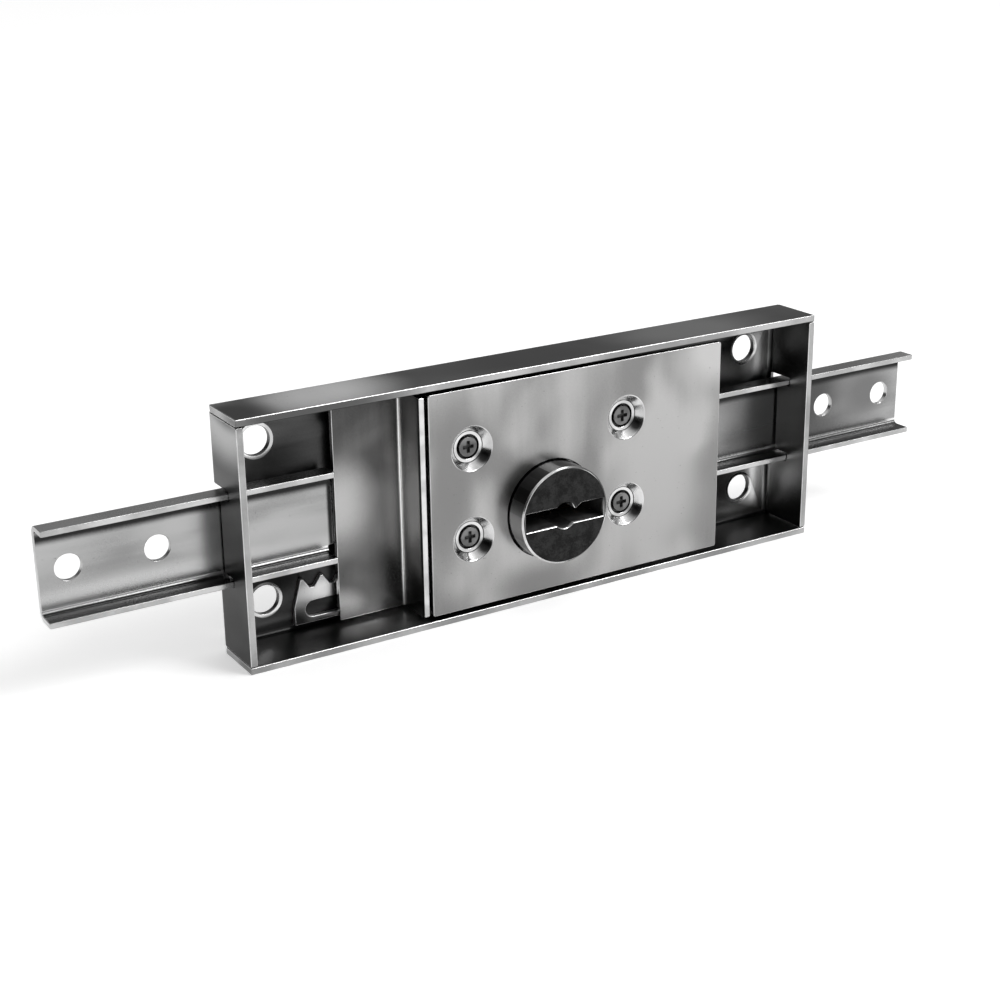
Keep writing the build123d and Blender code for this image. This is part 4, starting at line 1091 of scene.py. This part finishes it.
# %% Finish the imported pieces
METALS = [("spring", SPRING_WIRE), ("tumbler", BRASS), ("bush", BRASS), ("screw", SCREW_METAL),
          ("housing", HOUSING_METAL), ("pinion", PINION_METAL), ("pillar", PILLAR_METAL),
          ("post", PILLAR_METAL), ("rivet", PILLAR_METAL), ("pin", PILLAR_METAL), ("upper_rack", RACK_STEEL)]
for node_name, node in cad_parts.items():
    for word, finish in METALS:
        if word in node_name:
            node.data.materials.clear()
            node.data.materials.append(finish)
            break
print("packed pieces that show", sum(not node.hide_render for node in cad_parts.values()))

# %% [markdown]
# ## The studio
# Metal shows what stands round it. In a white room it would look like paper, so the room is lighter on
# the right and above, and darker on the left and near the horizon. The floor is white to the camera and
# to the metal, and it keeps the lock's shadow.

# %% Light the room
FLOOR_SIZE = 3.0
LAMP_PLACE = (1.0, -1.1, 1.5)
LAMP_SIZE = 0.92
LAMP_WATTS = 20.5
HEIGHT_STOPS = [(0.0, 0.5), (0.20, 0.20), (0.40, 0.20), (0.55, 0.8), (0.80, 1.0), (1.0, 0.8)]
SIDE_STOPS = [(0.0, 0.15), (0.5, 0.80), (0.8, 1.25)]
scene.view_settings.view_transform = "Standard"
floor_height = case_low[2] * MM


def make_world():
    """Brightness by height above the horizon times brightness from left to right. White to the camera."""
    scene.world = bpy.data.worlds.new("studio")
    board = Board(scene.world)
    way = board.node("ShaderNodeTexCoord").pick("Generated")
    parts = board.node("ShaderNodeSeparateXYZ", None, {0: way})
    level = board.ramp(parts.pick("Z"), HEIGHT_STOPS)
    side = board.ramp(parts.pick("X") * 0.5 + 0.5, SIDE_STOPS)
    room = board.mix(1.0, level, side, "MULTIPLY")
    seen = board.node("ShaderNodeLightPath").pick("Is Camera Ray")
    colour = board.mix(seen, room, grey(1.0))
    shader = board.node("ShaderNodeBackground", None, {"Color": colour})
    board.node("ShaderNodeOutputWorld", None, {"Surface": shader})


def make_floor():
    """A wide pale floor under the lock. It is matt, and glows a little to the camera and the metal."""
    mesh = bpy.data.meshes.new("studio_floor")
    corner = [(x, z, floor_height) for x, z in rectangle(-FLOOR_SIZE, FLOOR_SIZE, -FLOOR_SIZE, FLOOR_SIZE)]
    mesh.from_pydata(corner, [], [(0, 1, 2, 3)])
    material, board, place = new_material("floor_paper")
    base = board.mix(board.noise(place * 0.01), grey(0.86), grey(0.88))
    paper = board.node("ShaderNodeBsdfPrincipled", None, {
        "Base Color": base, "Roughness": 0.9, "Specular IOR Level": 0.1})
    rays = board.node("ShaderNodeLightPath")
    in_metal = board.math("MAXIMUM", rays.pick("Is Glossy Ray"), rays.pick("Is Transmission Ray"))
    glow = board.node("ShaderNodeEmission", None, {
        "Color": grey(1.0), "Strength": rays.pick("Is Camera Ray") * 0.40 + in_metal * 0.22})
    board.surface(board.node("ShaderNodeAddShader", None, {0: paper, 1: glow}))
    mesh.materials.append(material)
    put_in_scene("studio_floor", mesh)


make_world()
make_floor()
lamp = bpy.data.lights.new("key_panel", "AREA")
lamp.size = LAMP_SIZE
lamp.energy = LAMP_WATTS
panel = put_in_scene("key_panel", lamp)
panel.matrix_world = aimed(LAMP_PLACE, (0, 0, 0))
panel.visible_camera = False
print("floor at", round(floor_height, 4), "lamps", len(bpy.data.lights))
